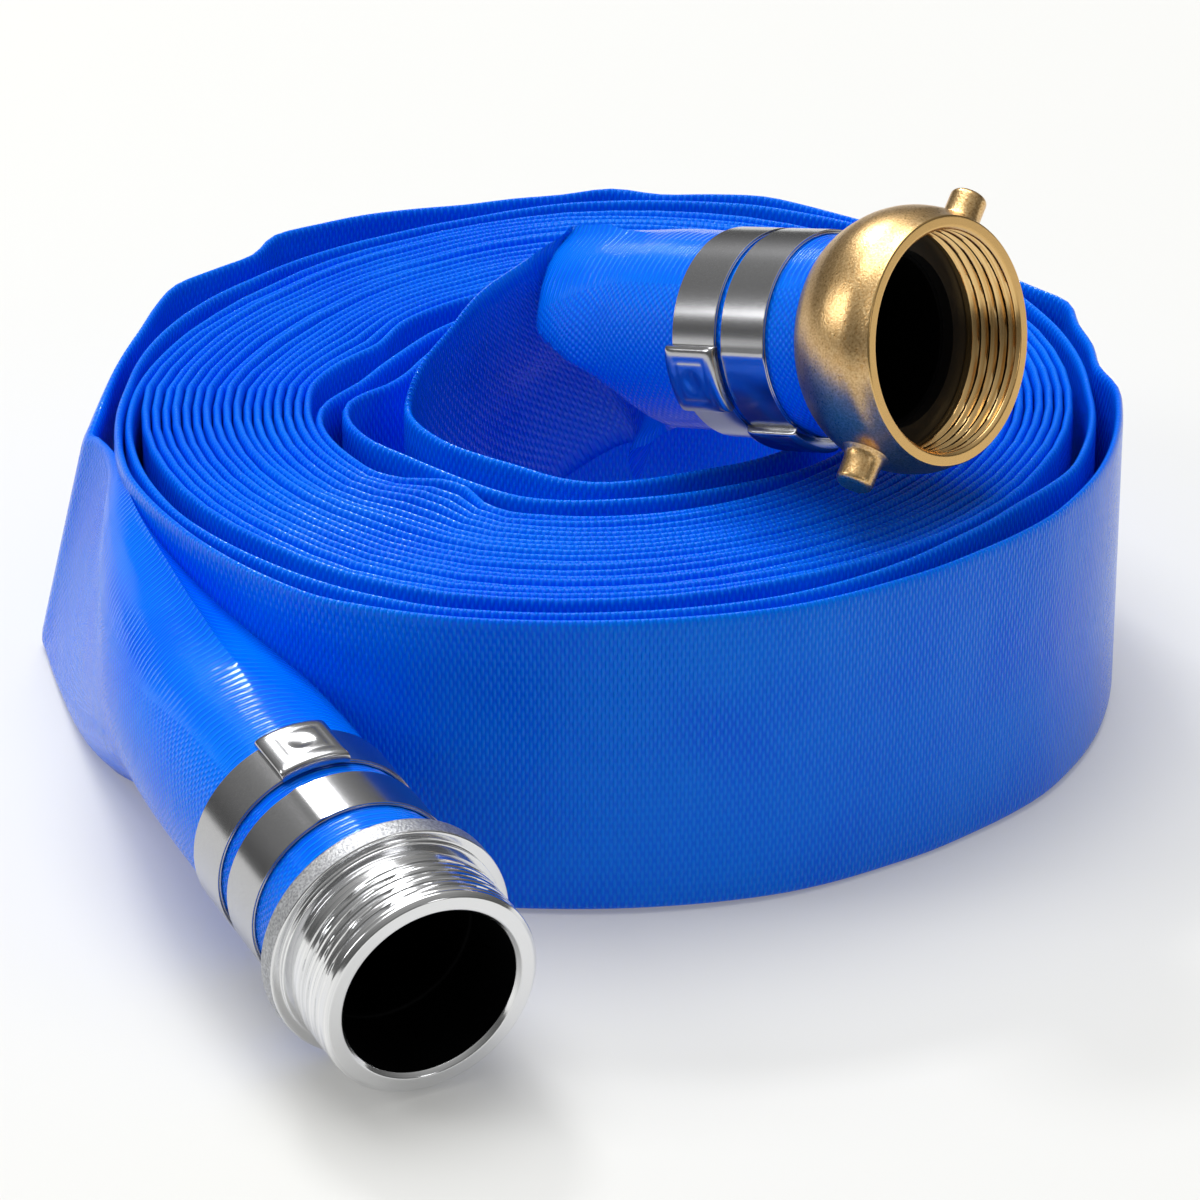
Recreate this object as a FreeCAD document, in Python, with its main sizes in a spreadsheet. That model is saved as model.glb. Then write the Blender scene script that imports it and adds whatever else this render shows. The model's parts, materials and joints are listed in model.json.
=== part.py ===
"""A rolled lay-flat fire hose with a threaded coupling on its outer end and a swivel coupling on its inner end.

Units are millimetres.  The roll lies on the floor (z = 0) with its axis along +Z.  The outer end of the hose leaves
the roll at the left, runs forward and lies on the floor.  The inner end climbs out of the roll's hollow, turns over
and lies above the roll.

A place on the roll is given by its winding angle: degrees clockwise seen from above, counted from the left (-X), so
that 90 is the back (+Y), 180 the right and 270 the front.  The angle goes on growing from turn to turn, from the
outer end of the roll to the inner one.

Each coupling has its own frame.  Its origin is the centre of the coupling's mouth, its Z axis runs backwards into
the hose and its X axis points up, so that a station along the coupling is the distance behind its mouth.
"""
import FreeCAD, Part
import math
import os
import Sketcher

VECTOR = FreeCAD.Vector

# ---------------------------------------------------------------------------------------------- driving dimensions
# name: (value, what it is).  Lengths are in millimetres and angles in degrees.
SIZES = {
    "roll_x": (10.87, "roll centre, to the right of the middle of the whole object"),
    "roll_y": (55.93, "roll centre, behind the middle of the whole object"),
    "hose_wall": (1.45, "wall of the hose where it is stretched on its shank"),
    "hose_fold": (2.5, "thickness of the hose when it lies flat, two walls pressed together"),
    "packed_turns": (18.0, "turns that lie tight against each other"),
    "swivel_rise": (49.43, "height of the swivel's mouth above the top of the roll"),
    "shank_radius": (26.4, "outer radius of the shanks that the hose is pushed on"),
    "shank_wall": (3.2, "wall of the shanks, round the waterway"),
    "shank_length": (59.0, "length of each shank inside the hose"),
    "shank_chamfer": (1.2, "lead-in chamfer on the end of each shank"),
    "hose_gap": (0.6, "air between the cut end of the hose and the metal in front of it"),
    "hose_round": (69.0, "length of the hose that is round, from its cut end"),
    "mouth_step": (0.7, "how much wider the waterway is at the threaded mouth"),
    "mouth_depth": (26.0, "depth of the wider waterway at the mouth"),
    "mouth_chamfer": (1.2, "chamfers at the mouth and on the first thread"),
    "thread_radius": (29.8, "outer radius of the outside thread, 2 in hose thread"),
    "thread_length": (19.5, "length of the outside thread, from the mouth"),
    "relief_depth": (2.4, "depth of the groove behind the outside thread"),
    "relief_length": (4.5, "length from the end of the thread to the flange"),
    "step_rise": (1.0, "how far the ring in front of the flange stands out past the thread"),
    "step_width": (1.4, "length of the ring in front of the flange"),
    "flange_width": (6.4, "length of the flange along the axis"),
    "flange_rise": (3.7, "how far the flange stands out past the thread"),
    "flange_edge": (0.8, "rounding of the flange's edges"),
    "thread_gap": (0.2, "clearance between the outside thread and the nut's inside thread"),
    "seat_step": (0.6, "how much wider the recess for the gasket and the collar is than the nut's thread"),
    "swivel_seat": (18.5, "station of the front of the gasket"),
    "gasket_width": (3.5, "thickness of the gasket along the axis"),
    "gasket_step": (1.2, "how much wider the gasket's hole is than the waterway"),
    "collar_width": (3.0, "thickness of the collar that holds the nut on its shank"),
    "running_gap": (0.08, "clearance between the turning nut and its shank"),
    "nut_lip": (3.8, "wall of the nut at its machined front rim"),
    "nut_lip_width": (3.0, "length of the machined front rim"),
    "nut_belly": (6.3, "wall of the nut at its lugs"),
    "nut_waist": (3.0, "wall of the nut just before its rounded back"),
    "nut_shoulder": (5.0, "thickness of the shoulder that pulls the collar forward"),
    "nut_back_land": (2.6, "width of the nut's flat back face, round the shank"),
    "lug_radius": (5.2, "radius of each spanner lug"),
    "lug_station": (13.0, "station of the lugs"),
    "lug_height": (9.3, "how far the lugs stand out of the nut"),
    "lug_edge": (2.2, "rounding of the lugs' tips"),
    "band_width": (15.3, "width of the strap of each clamp"),
    "band_wrap": (0.64, "thickness of one layer of strap"),
    "band_layers": (2.0, "layers of strap in each clamp"),
    "band_seat": (0.03, "air between the hose and its straps"),
    "male_band_front": (14.3, "front clamp on the threaded coupling, from the hose's cut end"),
    "male_band_rear": (35.3, "rear clamp on the threaded coupling, from the hose's cut end"),
    "swivel_band_front": (10.4, "front clamp on the swivel coupling, from the hose's cut end"),
    "swivel_band_rear": (28.0, "rear clamp on the swivel coupling, from the hose's cut end"),
    "buckle_width": (17.0, "width of each buckle along the hose"),
    "buckle_angle": (38.0, "angle that a buckle covers round the hose"),
    "buckle_height": (3.0, "height of each buckle above its strap"),
    "buckle_edge": (1.2, "rounding of the buckles' outer edges"),
    "dimple_radius": (3.2, "radius of the punch mark that locks a buckle"),
    "dimple_depth": (1.0, "depth of the punch mark"),
}

# The mouths of the two couplings, across and forward from the roll's centre, and the directions that they face.
# The height of the threaded coupling follows from its flange, which lies on the floor.
MALE_MOUTH = (-45.3, -249.6)
MALE_AXIS = VECTOR(0.458, -0.882, -0.114).normalize()
SWIVEL_MOUTH = (90.5, -80.8)
SWIVEL_AXIS = VECTOR(0.7355, -0.6349, 0.2365).normalize()
LUG_ANGLE = 48.0
# Where each clamp's buckle sits, in degrees from the top of the hose, clockwise seen from the mouth.
BUCKLE_ANGLES = {"male_front": 118.0, "male_rear": -5.0, "swivel_front": -150.0, "swivel_rear": -98.0}

# ----------------------------------------------------------------------------------------------- shape of the roll
FULL_TURN = 360
STEP = 9
SMOOTHNESS = 0.15
# The packed turns: winding angle, radius of the innermost one, and the air between two turns.  The last row is the
# first one again, a whole turn on.
PACK = [(0, 82.8, 0.40), (12, 77.6, 0.45), (24, 76.3, 0.32), (36, 74.9, 0.27), (60, 76.3, 0.29), (72, 79.2, 0.30),
        (84, 80.5, 0.40), (108, 81.7, 0.40), (132, 81.2, 0.35), (156, 80.7, 0.35), (204, 81.0, 0.30),
        (228, 82.5, 0.35), (252, 84.8, 0.40), (276, 88.3, 0.50), (288, 89.4, 0.58), (300, 89.2, 0.57),
        (312, 88.0, 0.45), (336, 86.4, 0.35), (348, 84.8, 0.37), (360, 82.8, 0.40)]
# The two loose outer turns: winding angle and distance from the turn inside.
LOOSE = [(18, 8.6), (24, 11.0), (36, 15.6), (48, 17.3), (60, 15.7), (72, 12.4), (84, 9.6), (96, 8.2), (108, 6.4),
         (132, 7.0), (144, 7.8), (156, 12.0), (168, 10.3), (180, 7.4), (204, 7.4), (216, 11.0), (228, 9.0),
         (240, 6.4), (264, 4.9), (276, 4.3), (288, 5.0), (300, 7.9), (312, 6.2), (324, 3.8), (336, 4.0), (348, 3.1),
         (360, 2.95), (372, 5.7), (384, 7.5), (396, 7.8), (420, 7.1), (432, 6.3), (444, 7.9), (456, 9.7),
         (468, 11.8), (480, 11.7), (492, 9.6), (504, 7.1), (516, 6.0), (540, 5.6), (552, 7.4), (564, 9.2),
         (576, 5.6), (588, 5.5), (600, 7.3), (612, 9.3), (636, 8.7), (648, 7.9), (660, 7.0), (672, 8.2),
         (684, 8.6), (696, 7.2), (708, 5.0), (720, 2.85)]
# Inward dents of the packed turns, deepest on the innermost one: middle, half width and depth.
DENTS = [(24.0, 15.0, 5.4), (303.0, 14.0, 11.0)]
# The loose inner turns, seen from above, from the left to the inner end of the roll.
INNER_TURNS = [
    (-80.6, -9.8), (-77.6, -4.6), (-72.0, 3.5), (-66.7, 14.2), (-60.2, 25.8), (-53.0, 37.5), (-41.0, 51.0),
    (-25.0, 64.0), (5.0, 74.0), (38.0, 66.5), (63.5, 43.0), (76.5, 5.0), (70.5, -33.0), (54.5, -54.0),
    (32.4, -66.3), (18.5, -71.6), (-3.4, -75.7), (-14.3, -75.9), (-25.3, -73.3), (-36.4, -65.9), (-47.6, -56.0),
    (-59.1, -44.6), (-66.3, -37.5), (-71.4, -29.5), (-75.0, -18.8), (-74.6, -9.8), (-69.8, -2.8), (-64.4, 2.2),
    (-59.4, 9.8), (-54.5, 21.5), (-46.0, 38.0), (-30.0, 53.0), (-8.0, 61.0), (30.0, 59.0), (57.0, 35.0),
    (65.0, 0.0), (57.0, -33.0), (40.0, -49.0), (24.3, -56.2), (9.8, -61.8), (-5.5, -64.2), (-14.8, -61.2),
    (-25.6, -53.6), (-36.8, -45.8), (-44.4, -39.6), (-51.1, -31.2), (-55.8, -22.3), (-57.8, -14.0)]

# Stations of the outer end of the hose, from the roll's centre: across, forward, height of the lower fold above the
# floor, how far the hose has opened (0 flat, 1 round) and how far its upper fold leans back and to the side.
OUTER_END = [
    (-146.0, 18.0, 0.2, 0.0, (0.09, 0.0)),
    (-154.2, -16.0, 0.3, 0.02, (0.24, 0.0)),
    (-150.6, -60.0, 1.6, 0.14, (0.20, 0.03)),
    (-135.6, -101.5, 5.4, 0.43, (0.15, 0.06)),
    (-115.6, -136.0, 9.6, 0.71, (0.10, 0.03)),
]
# Stations of the inner end: across, forward, height of the middle of the hose in widths of the flat hose, opening
# and lean of the upper fold.
INNER_END = [
    (-54.0, -3.5, 0.611, 0.0, (-0.02, -0.13)),
    (-41.0, 8.0, 0.755, 0.0, (-0.12, -0.29)),
    (-24.9, 17.5, 0.918, 0.04, (-0.30, -0.47)),
    (-7.9, 15.5, 1.081, 0.36, (-0.39, -0.38)),
    (1.3, 3.5, 1.168, 0.70, (-0.35, 0.05)),
]


class Size:
    """A length that carries its number and the formula that ties it to the sheet of sizes."""

    def __init__(self, value, formula):
        self.value = value
        self.formula = formula

    def joined(self, other, sign, value):
        formula = other.formula if isinstance(other, Size) else repr(other)
        return Size(value, f"({self.formula} {sign} {formula})")

    def __add__(self, other):
        return self.joined(other, "+", self.value + number(other))

    def __sub__(self, other):
        return self.joined(other, "-", self.value - number(other))

    def __mul__(self, other):
        return self.joined(other, "*", self.value * number(other))


def number(length):
    """The plain number of a Size, or the number itself."""
    return length.value if isinstance(length, Size) else float(length)


def bind(owner, prop, length):
    """Tie a property to a formula of the sheet."""
    owner.setExpression(prop, length.formula)


# ------------------------------------------------------------------------------------------- document and the sheet
document = FreeCAD.newDocument("rolled_fire_hose")
sheet = document.addObject("Spreadsheet::Sheet", "sizes")
for row, (alias, (amount, meaning)) in enumerate(SIZES.items(), start=1):
    sheet.set(f"A{row}", meaning)
    sheet.set(f"B{row}", str(amount))
    sheet.setAlias(f"B{row}", alias)
document.recompute()


def size(alias):
    """One size of the sheet, as it stands there."""
    return Size(float(getattr(sheet, alias)), f"sizes.{alias}")


# Sizes that follow from others and that several pieces share.
HOSE_RADIUS = size("shank_radius") + size("hose_wall")
WATERWAY = size("shank_radius") - size("shank_wall")
FLANGE_FRONT = size("thread_length") + size("relief_length")
FLANGE_BACK = FLANGE_FRONT + size("flange_width")
FLANGE_RADIUS = size("thread_radius") + size("flange_rise")
NUT_BORE = size("thread_radius") + size("thread_gap")
SEAT_RADIUS = NUT_BORE + size("seat_step")
GASKET_BACK = size("swivel_seat") + size("gasket_width")
SHOULDER = GASKET_BACK + size("collar_width") + size("running_gap") * 2
NUT_BACK = SHOULDER + size("nut_shoulder")
LUG_REACH = NUT_BORE + size("nut_belly") + size("lug_height")
# The station of the hose's cut end on each coupling.
MALE_HOSE_START = FLANGE_BACK + size("hose_gap")
SWIVEL_HOSE_START = NUT_BACK + size("hose_gap")

ROLL_CENTRE = VECTOR(size("roll_x").value, size("roll_y").value, 0)
SECTION_GIRTH = HOSE_RADIUS.value * 2 * math.pi
HALF_FOLD = size("hose_fold").value / 2
FLAT_WIDTH = SECTION_GIRTH / 2 - (math.pi - 2) * HALF_FOLD


# --------------------------------------------------------------------------------------------------- small helpers
def new_body(label):
    """An empty body named after its piece."""
    body = document.addObject("PartDesign::Body", label)
    body.Label = label
    return body


def plane(body, role):
    """One of the body's own origin planes."""
    return next(part for part in body.Origin.OriginFeatures if part.Role == role)


def new_sketch(body, name, role):
    """A sketch on one of the body's own planes."""
    sketch = body.newObject("Sketcher::SketchObject", name)
    sketch.AttachmentSupport = [(plane(body, role), "")]
    sketch.MapMode = "FlatFace"
    return sketch


def hold_point(sketch, line, end, across, up):
    """Tie one end of a line to its distances from the sketch's origin."""
    for kind, length in (("DistanceX", across), ("DistanceY", up)):
        place = sketch.addConstraint(Sketcher.Constraint(kind, -1, 1, line, end, number(length)))
        if isinstance(length, Size):
            sketch.setExpression(f"Constraints[{place}]", length.formula)


def outline(sketch, corners):
    """A closed outline of straight lines whose corners, each across and up, are tied to the sheet."""
    points = [VECTOR(number(across), number(up), 0) for across, up in corners]
    for index, point in enumerate(points):
        sketch.addGeometry(Part.LineSegment(point, points[(index + 1) % len(points)]), False)
    for index, (across, up) in enumerate(corners):
        before = (index - 1) % len(corners)
        sketch.addConstraint(Sketcher.Constraint("Coincident", before, 2, index, 1))
        hold_point(sketch, index, 1, across, up)


def circle(sketch, radius, up=0.0):
    """A circle whose middle lies straight above the sketch's origin."""
    curve = sketch.addGeometry(Part.Circle(VECTOR(0, number(up), 0), VECTOR(0, 0, 1), number(radius)), False)
    place = sketch.addConstraint(Sketcher.Constraint("Radius", curve, number(radius)))
    sketch.setExpression(f"Constraints[{place}]", radius.formula)
    hold_point(sketch, curve, 3, 0.0, up)


def turned(body, name, corners):
    """A solid of revolution about the body's Z axis; each corner is a radius and a station."""
    sketch = new_sketch(body, name + "_outline", "XZ_Plane")
    outline(sketch, corners)
    feature = body.newObject("PartDesign::Revolution", name)
    feature.Profile = sketch
    feature.ReferenceAxis = (sketch, ["V_Axis"])
    feature.Angle = 360
    return feature


def hollowed(body, name, corners):
    """A hollow of revolution about the body's Z axis, cut from the body."""
    sketch = new_sketch(body, name + "_outline", "XZ_Plane")
    outline(sketch, corners)
    feature = body.newObject("PartDesign::Groove", name)
    feature.Profile = sketch
    feature.ReferenceAxis = (sketch, ["V_Axis"])
    feature.Angle = 360
    return feature


def rounded(body, name, radius, chosen):
    """Fillets on the edges of the body's tip for which chosen(edge) holds."""
    document.recompute()
    tip = body.Tip
    names = [f"Edge{index}" for index, edge in enumerate(tip.Shape.Edges, start=1) if chosen(edge)]
    feature = body.newObject("PartDesign::Fillet", name)
    feature.Base = (tip, names)
    bind(feature, "Radius", radius)
    return feature


def rings(*places):
    """True for a full circle about the Z axis at one of the given radii and stations."""
    def chosen(edge):
        curve = edge.Curve
        if curve.TypeId != "Part::GeomCircle" or abs(curve.Center.x) + abs(curve.Center.y) > 0.01:
            return False
        return any(abs(curve.Radius - number(radius)) < 0.01 and abs(curve.Center.z - number(station)) < 0.01
                   for radius, station in places)
    return chosen


def top_of(axis):
    """The direction square to a coupling's axis that points up."""
    side = axis.cross(VECTOR(0, 0, 1)).normalize()
    return side.cross(axis)


def coupling_frame(mouth, axis, station=0.0, turn=0.0):
    """The place of a piece on a coupling: its station, and its turn from the top, clockwise seen from the mouth."""
    top = top_of(axis)
    frame = FreeCAD.Rotation(top, top.cross(axis), axis * -1, "ZXY")
    spin = FreeCAD.Rotation(VECTOR(0, 0, 1), turn)
    return FreeCAD.Placement(mouth - axis * station, frame.multiply(spin))


# ------------------------------------------------------------------------------------------------ the rolled hose
def between(table, angle, column):
    """The value of one column of a table at an angle between two of its rows."""
    for low, high in zip(table, table[1:]):
        if low[0] <= angle <= high[0]:
            share = (angle - low[0]) / (high[0] - low[0])
            return low[column] + (high[column] - low[column]) * share
    raise ValueError(f"no row for {angle}")


def packed_radius(angle, layer):
    """Radius of the middle of the hose in a packed turn, which lies layer turns outside the innermost one."""
    radius = between(PACK, angle, 1) + layer * (2 * HALF_FOLD + between(PACK, angle, 2))
    nearness = 1 - layer / size("packed_turns").value
    for middle, half_width, depth in DENTS:
        reach = abs(angle - middle) / half_width
        if reach < 1:
            radius -= depth * nearness ** 3 * (1 + math.cos(math.pi * reach)) / 2
    return radius


def roll_radius(wind):
    """Radius of the middle of the hose at a winding angle, in the loose outer turns and the packed ones."""
    outer = LOOSE[-1][0]
    if wind < outer:
        return roll_radius(wind + FULL_TURN) + between(LOOSE, wind, 1)
    angle = (wind - outer) % FULL_TURN
    layer = size("packed_turns").value - (wind - outer) / FULL_TURN
    return packed_radius(angle, layer)


def roll_line():
    """The middle line of the rolled hose, from its outer end to its inner end."""
    first = LOOSE[0][0]
    last = LOOSE[-1][0] + FULL_TURN * size("packed_turns").value - 2 * STEP
    points = []
    for wind in [first + STEP * index for index in range(int((last - first) / STEP) + 1)]:
        radius = roll_radius(wind)
        points.append(VECTOR(-radius * math.cos(math.radians(wind)), radius * math.sin(math.radians(wind)), 0))
    loose = Part.BSplineCurve()
    loose.interpolate(Points=points[-2:] + [VECTOR(x, y, 0) for x, y in INNER_TURNS])
    return points[:-2] + loose.toShape().discretize(Deflection=SMOOTHNESS)


def side_line(points, distance):
    """The line beside a middle line, at a distance to its left."""
    lines = [(after - before).normalize() for before, after in zip(points, points[1:])]
    sides = []
    for index, point in enumerate(points):
        here = lines[max(index - 1, 0)]
        there = lines[min(index, len(lines) - 1)]
        across = VECTOR(-here.y - there.y, here.x + there.x, 0).normalize()
        stretch = across.dot(VECTOR(-here.y, here.x, 0))
        sides.append(point + across * (distance / stretch))
    return sides


def make_roll():
    """All turns of the roll as one flat hose on its edge."""
    middle = roll_line()
    edge = side_line(middle, HALF_FOLD) + side_line(middle, -HALF_FOLD)[::-1]
    face = Part.Face(Part.makePolygon(edge + edge[:1]))
    roll = document.addObject("Part::Feature", "hose_roll")
    roll.Shape = face.extrude(VECTOR(0, 0, FLAT_WIDTH))
    roll.Placement = FreeCAD.Placement(ROLL_CENTRE, FreeCAD.Rotation())
    return middle


def half_thickness(opening):
    """Half the thickness of the hose between its walls, flat or partly open."""
    return HALF_FOLD + (HOSE_RADIUS.value - HALF_FOLD) * opening


def half_width(opening):
    """Half the width of the hose from fold to fold, with its girth unchanged."""
    return (SECTION_GIRTH / 2 - (math.pi - 2) * half_thickness(opening)) / 2


def hose_section(centre, opening, upward, along):
    """The outline of the hose at one station: two walls and two folds, tangent to each other.

    The direction upward goes from the lower fold to the upper one."""
    across = upward.cross(along).normalize()
    upward = upward * (1 / upward.Length)
    half = half_thickness(opening)
    reach = half_width(opening)
    bend = math.radians(45) * opening ** 2
    corner_up = reach - half + half * math.sin(bend)
    corner_out = half * math.cos(bend)
    fold_pull = half * 4 / 3 * math.tan((math.pi / 2 - bend) / 2)
    wall_pull = corner_up * (0.667 + 0.114 * opening)

    def point(out, up):
        return centre + across * out + upward * up

    def pulled(out_sign, up_sign, pull):
        return point(out_sign * (corner_out + pull * math.sin(bend)), up_sign * (corner_up - pull * math.cos(bend)))

    signs = [(1, 1), (-1, 1), (-1, -1), (1, -1)]
    edges = []
    for index, (out_sign, up_sign) in enumerate(signs):
        next_out, next_up = signs[(index + 1) % 4]
        start = pulled(out_sign, up_sign, 0)
        end = pulled(next_out, next_up, 0)
        pull = wall_pull if index % 2 else -fold_pull
        if opening == 1:
            middle = point(0, up_sign * reach) if index % 2 == 0 else point(out_sign * half, 0)
            edges.append(Part.Arc(start, middle, end).toShape())
        else:
            curve = Part.BezierCurve()
            curve.setPoles([start, pulled(out_sign, up_sign, pull), pulled(next_out, next_up, pull), end])
            edges.append(curve.toShape())
    return Part.Wire(edges)


def make_end(label, first, first_along, stations, mouth, axis, start):
    """One end of the hose: it opens from the flat hose of the roll to the round hose on its coupling."""
    cut_end = mouth - axis * start.value
    join = cut_end - axis * size("hose_round").value
    centres = [first] + [VECTOR(*station[:3]) for station in stations] + [join]
    sections = [hose_section(first, 0.0, VECTOR(0, 0, 1), first_along)]
    for index, (across, forward, height, opening, lean) in enumerate(stations, start=1):
        along = (centres[index + 1] - centres[index - 1]).normalize()
        sections.append(hose_section(centres[index], opening, VECTOR(*lean, 1.0), along))
    sections.append(hose_section(join, 1.0, top_of(axis), axis))
    opening_part = Part.makeLoft(sections, True, False)
    round_part = Part.makeCylinder(HOSE_RADIUS.value, size("hose_round").value, cut_end, axis * -1)
    socket = Part.makeCylinder(size("shank_radius").value, size("shank_length").value, cut_end, axis * -1)
    end = document.addObject("Part::Feature", label)
    end.Shape = opening_part.fuse(round_part).cut(socket).removeSplitter()
    end.Placement = FreeCAD.Placement(ROLL_CENTRE, FreeCAD.Rotation())
    return end


def lying(stations):
    """Stations whose lower fold is given turned into stations whose middle is given."""
    placed = []
    for across, forward, lift, opening, lean in stations:
        slope = 1 / math.sqrt(1 + lean[0] ** 2 + lean[1] ** 2)
        placed.append((across, forward, lift + half_width(opening) * slope, opening, lean))
    return placed


def raised(stations):
    """Stations whose height is given in widths of the flat hose turned into stations in millimetres."""
    return [(across, forward, height * FLAT_WIDTH, opening, lean)
            for across, forward, height, opening, lean in stations]


# -------------------------------------------------------------------------------------------- threaded coupling
def make_male_coupling(mouth):
    """The light-alloy coupling: outside thread, relief groove, flange and shank in one casting."""
    body = new_body("male_coupling")
    thread = size("thread_radius")
    relief = thread - size("relief_depth")
    shank = size("shank_radius")
    shank_end = MALE_HOSE_START + size("shank_length")
    mouth_bore = WATERWAY + size("mouth_step")
    turned(body, "casting", [
        (mouth_bore + size("mouth_chamfer"), 0.0),
        (thread - size("mouth_chamfer"), 0.0),
        (thread, size("mouth_chamfer")),
        (thread, size("thread_length")),
        (relief, size("thread_length") + size("relief_depth") * 0.5),
        (relief, FLANGE_FRONT - size("step_width")),
        (thread + size("step_rise"), FLANGE_FRONT - size("step_width")),
        (thread + size("step_rise"), FLANGE_FRONT),
        (FLANGE_RADIUS, FLANGE_FRONT),
        (FLANGE_RADIUS, FLANGE_BACK),
        (shank, FLANGE_BACK),
        (shank, shank_end - size("shank_chamfer")),
        (shank - size("shank_chamfer"), shank_end),
        (WATERWAY, shank_end),
        (WATERWAY, size("mouth_depth") + size("mouth_step")),
        (mouth_bore, size("mouth_depth")),
        (mouth_bore, size("mouth_chamfer")),
    ])
    rounded(body, "flange_edges", size("flange_edge"),
            rings((FLANGE_RADIUS, FLANGE_FRONT), (FLANGE_RADIUS, FLANGE_BACK)))
    body.Placement = coupling_frame(mouth, MALE_AXIS)


# ---------------------------------------------------------------------------------------------- swivel coupling
def make_swivel_shank(mouth):
    """The tube that the hose is pushed on, with the collar that the nut pulls against the gasket."""
    body = new_body("swivel_shank")
    front = GASKET_BACK + size("running_gap")
    back = front + size("collar_width")
    collar = SEAT_RADIUS - size("running_gap")
    shank = size("shank_radius")
    shank_end = SWIVEL_HOSE_START + size("shank_length")
    turned(body, "tailpiece", [
        (WATERWAY, front),
        (collar, front),
        (collar, back),
        (shank, back),
        (shank, shank_end - size("shank_chamfer")),
        (shank - size("shank_chamfer"), shank_end),
        (WATERWAY, shank_end),
    ])
    body.Placement = coupling_frame(mouth, SWIVEL_AXIS)


def make_swivel_nut(mouth):
    """The cast brass nut with its inside thread, two spanner lugs and the shoulder behind the collar."""
    body = new_body("swivel_nut")
    rim = NUT_BORE + size("nut_lip")
    belly = NUT_BORE + size("nut_belly")
    hole = size("shank_radius") + size("running_gap")
    turned(body, "casting", [
        (0.0, 0.0),
        (rim, 0.0),
        (rim, size("nut_lip_width")),
        (belly, size("lug_station") - size("lug_radius")),
        (belly, size("lug_station") + size("lug_radius") * 0.6),
        (NUT_BORE + size("nut_waist"), NUT_BACK - size("nut_lip")),
        (hole + size("nut_back_land"), NUT_BACK),
        (0.0, NUT_BACK),
    ])
    sketch = new_sketch(body, "lug_outline", "YZ_Plane")
    circle(sketch, size("lug_radius"), size("lug_station"))
    lugs = body.newObject("PartDesign::Pad", "lugs")
    lugs.Profile = sketch
    lugs.Midplane = True
    bind(lugs, "Length", LUG_REACH * 2.0)
    rounded(body, "lug_tips", size("lug_edge"), lug_tip)
    hollowed(body, "thread_and_seat", [
        (0.0, 0.0),
        (NUT_BORE + size("mouth_chamfer"), 0.0),
        (NUT_BORE, size("mouth_chamfer")),
        (NUT_BORE, size("swivel_seat")),
        (SEAT_RADIUS, size("swivel_seat")),
        (SEAT_RADIUS, SHOULDER),
        (hole, SHOULDER),
        (hole, NUT_BACK),
        (0.0, NUT_BACK),
    ])
    body.Placement = coupling_frame(mouth, SWIVEL_AXIS, 0.0, LUG_ANGLE)


def lug_tip(edge):
    """True for the round edge at the end of a lug."""
    return abs(abs(edge.CenterOfMass.x) - LUG_REACH.value) < 0.01


def make_gasket(mouth):
    """The flat rubber ring in the nut, in front of the collar."""
    body = new_body("gasket")
    hole = WATERWAY + size("gasket_step")
    turned(body, "ring", [
        (hole, size("swivel_seat")), (SEAT_RADIUS, size("swivel_seat")),
        (SEAT_RADIUS, GASKET_BACK), (hole, GASKET_BACK)])
    body.Placement = coupling_frame(mouth, SWIVEL_AXIS)


# -------------------------------------------------------------------------------------------- clamps on the hose
def make_clamp(which, mouth, axis, station):
    """One strap wound round the hose, and the buckle that locks it."""
    inside = HOSE_RADIUS + size("band_seat")
    outside = inside + size("band_wrap") * size("band_layers")
    band = new_body(f"{which}_band")
    turned(band, "strap", [(inside, 0.0), (outside, 0.0), (outside, size("band_width")), (inside, size("band_width"))])
    place = coupling_frame(mouth, axis, station.value, BUCKLE_ANGLES[which])
    band.Placement = place

    buckle = new_body(f"{which}_buckle")
    top = outside + size("buckle_height")
    overhang = (size("buckle_width") - size("band_width")) * 0.5
    sleeve = turned(buckle, "sleeve", [
        (outside, overhang * -1.0), (top, overhang * -1.0),
        (top, size("band_width") + overhang), (outside, size("band_width") + overhang)])
    sleeve.Midplane = True
    bind(sleeve, "Angle", size("buckle_angle"))
    rounded(buckle, "soft_edges", size("buckle_edge"), outer_edge(top.value))
    sketch = new_sketch(buckle, "dimple_outline", "YZ_Plane")
    sketch.setExpression("AttachmentOffset.Base.z", (top - size("dimple_depth")).formula)
    circle(sketch, size("dimple_radius"), size("band_width") * 0.5)
    dimple = buckle.newObject("PartDesign::Pocket", "dimple")
    dimple.Profile = sketch
    dimple.Reversed = True
    bind(dimple, "Length", size("buckle_height"))
    buckle.Placement = place


def outer_edge(top):
    """True for an edge that lies wholly on the buckle's outer face."""
    def chosen(edge):
        return all(abs(math.hypot(vertex.X, vertex.Y) - top) < 0.01 for vertex in edge.Vertexes)
    return chosen


# --------------------------------------------------------------------------------------------- the whole assembly
tilt = math.asin(-MALE_AXIS.z)
mouth_height = FLANGE_RADIUS.value * math.cos(tilt) - FLANGE_FRONT.value * math.sin(tilt)
male_plan = VECTOR(*MALE_MOUTH, mouth_height)
swivel_plan = VECTOR(*SWIVEL_MOUTH, FLAT_WIDTH + size("swivel_rise").value)
male_mouth = male_plan + ROLL_CENTRE
swivel_mouth = swivel_plan + ROLL_CENTRE

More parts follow.
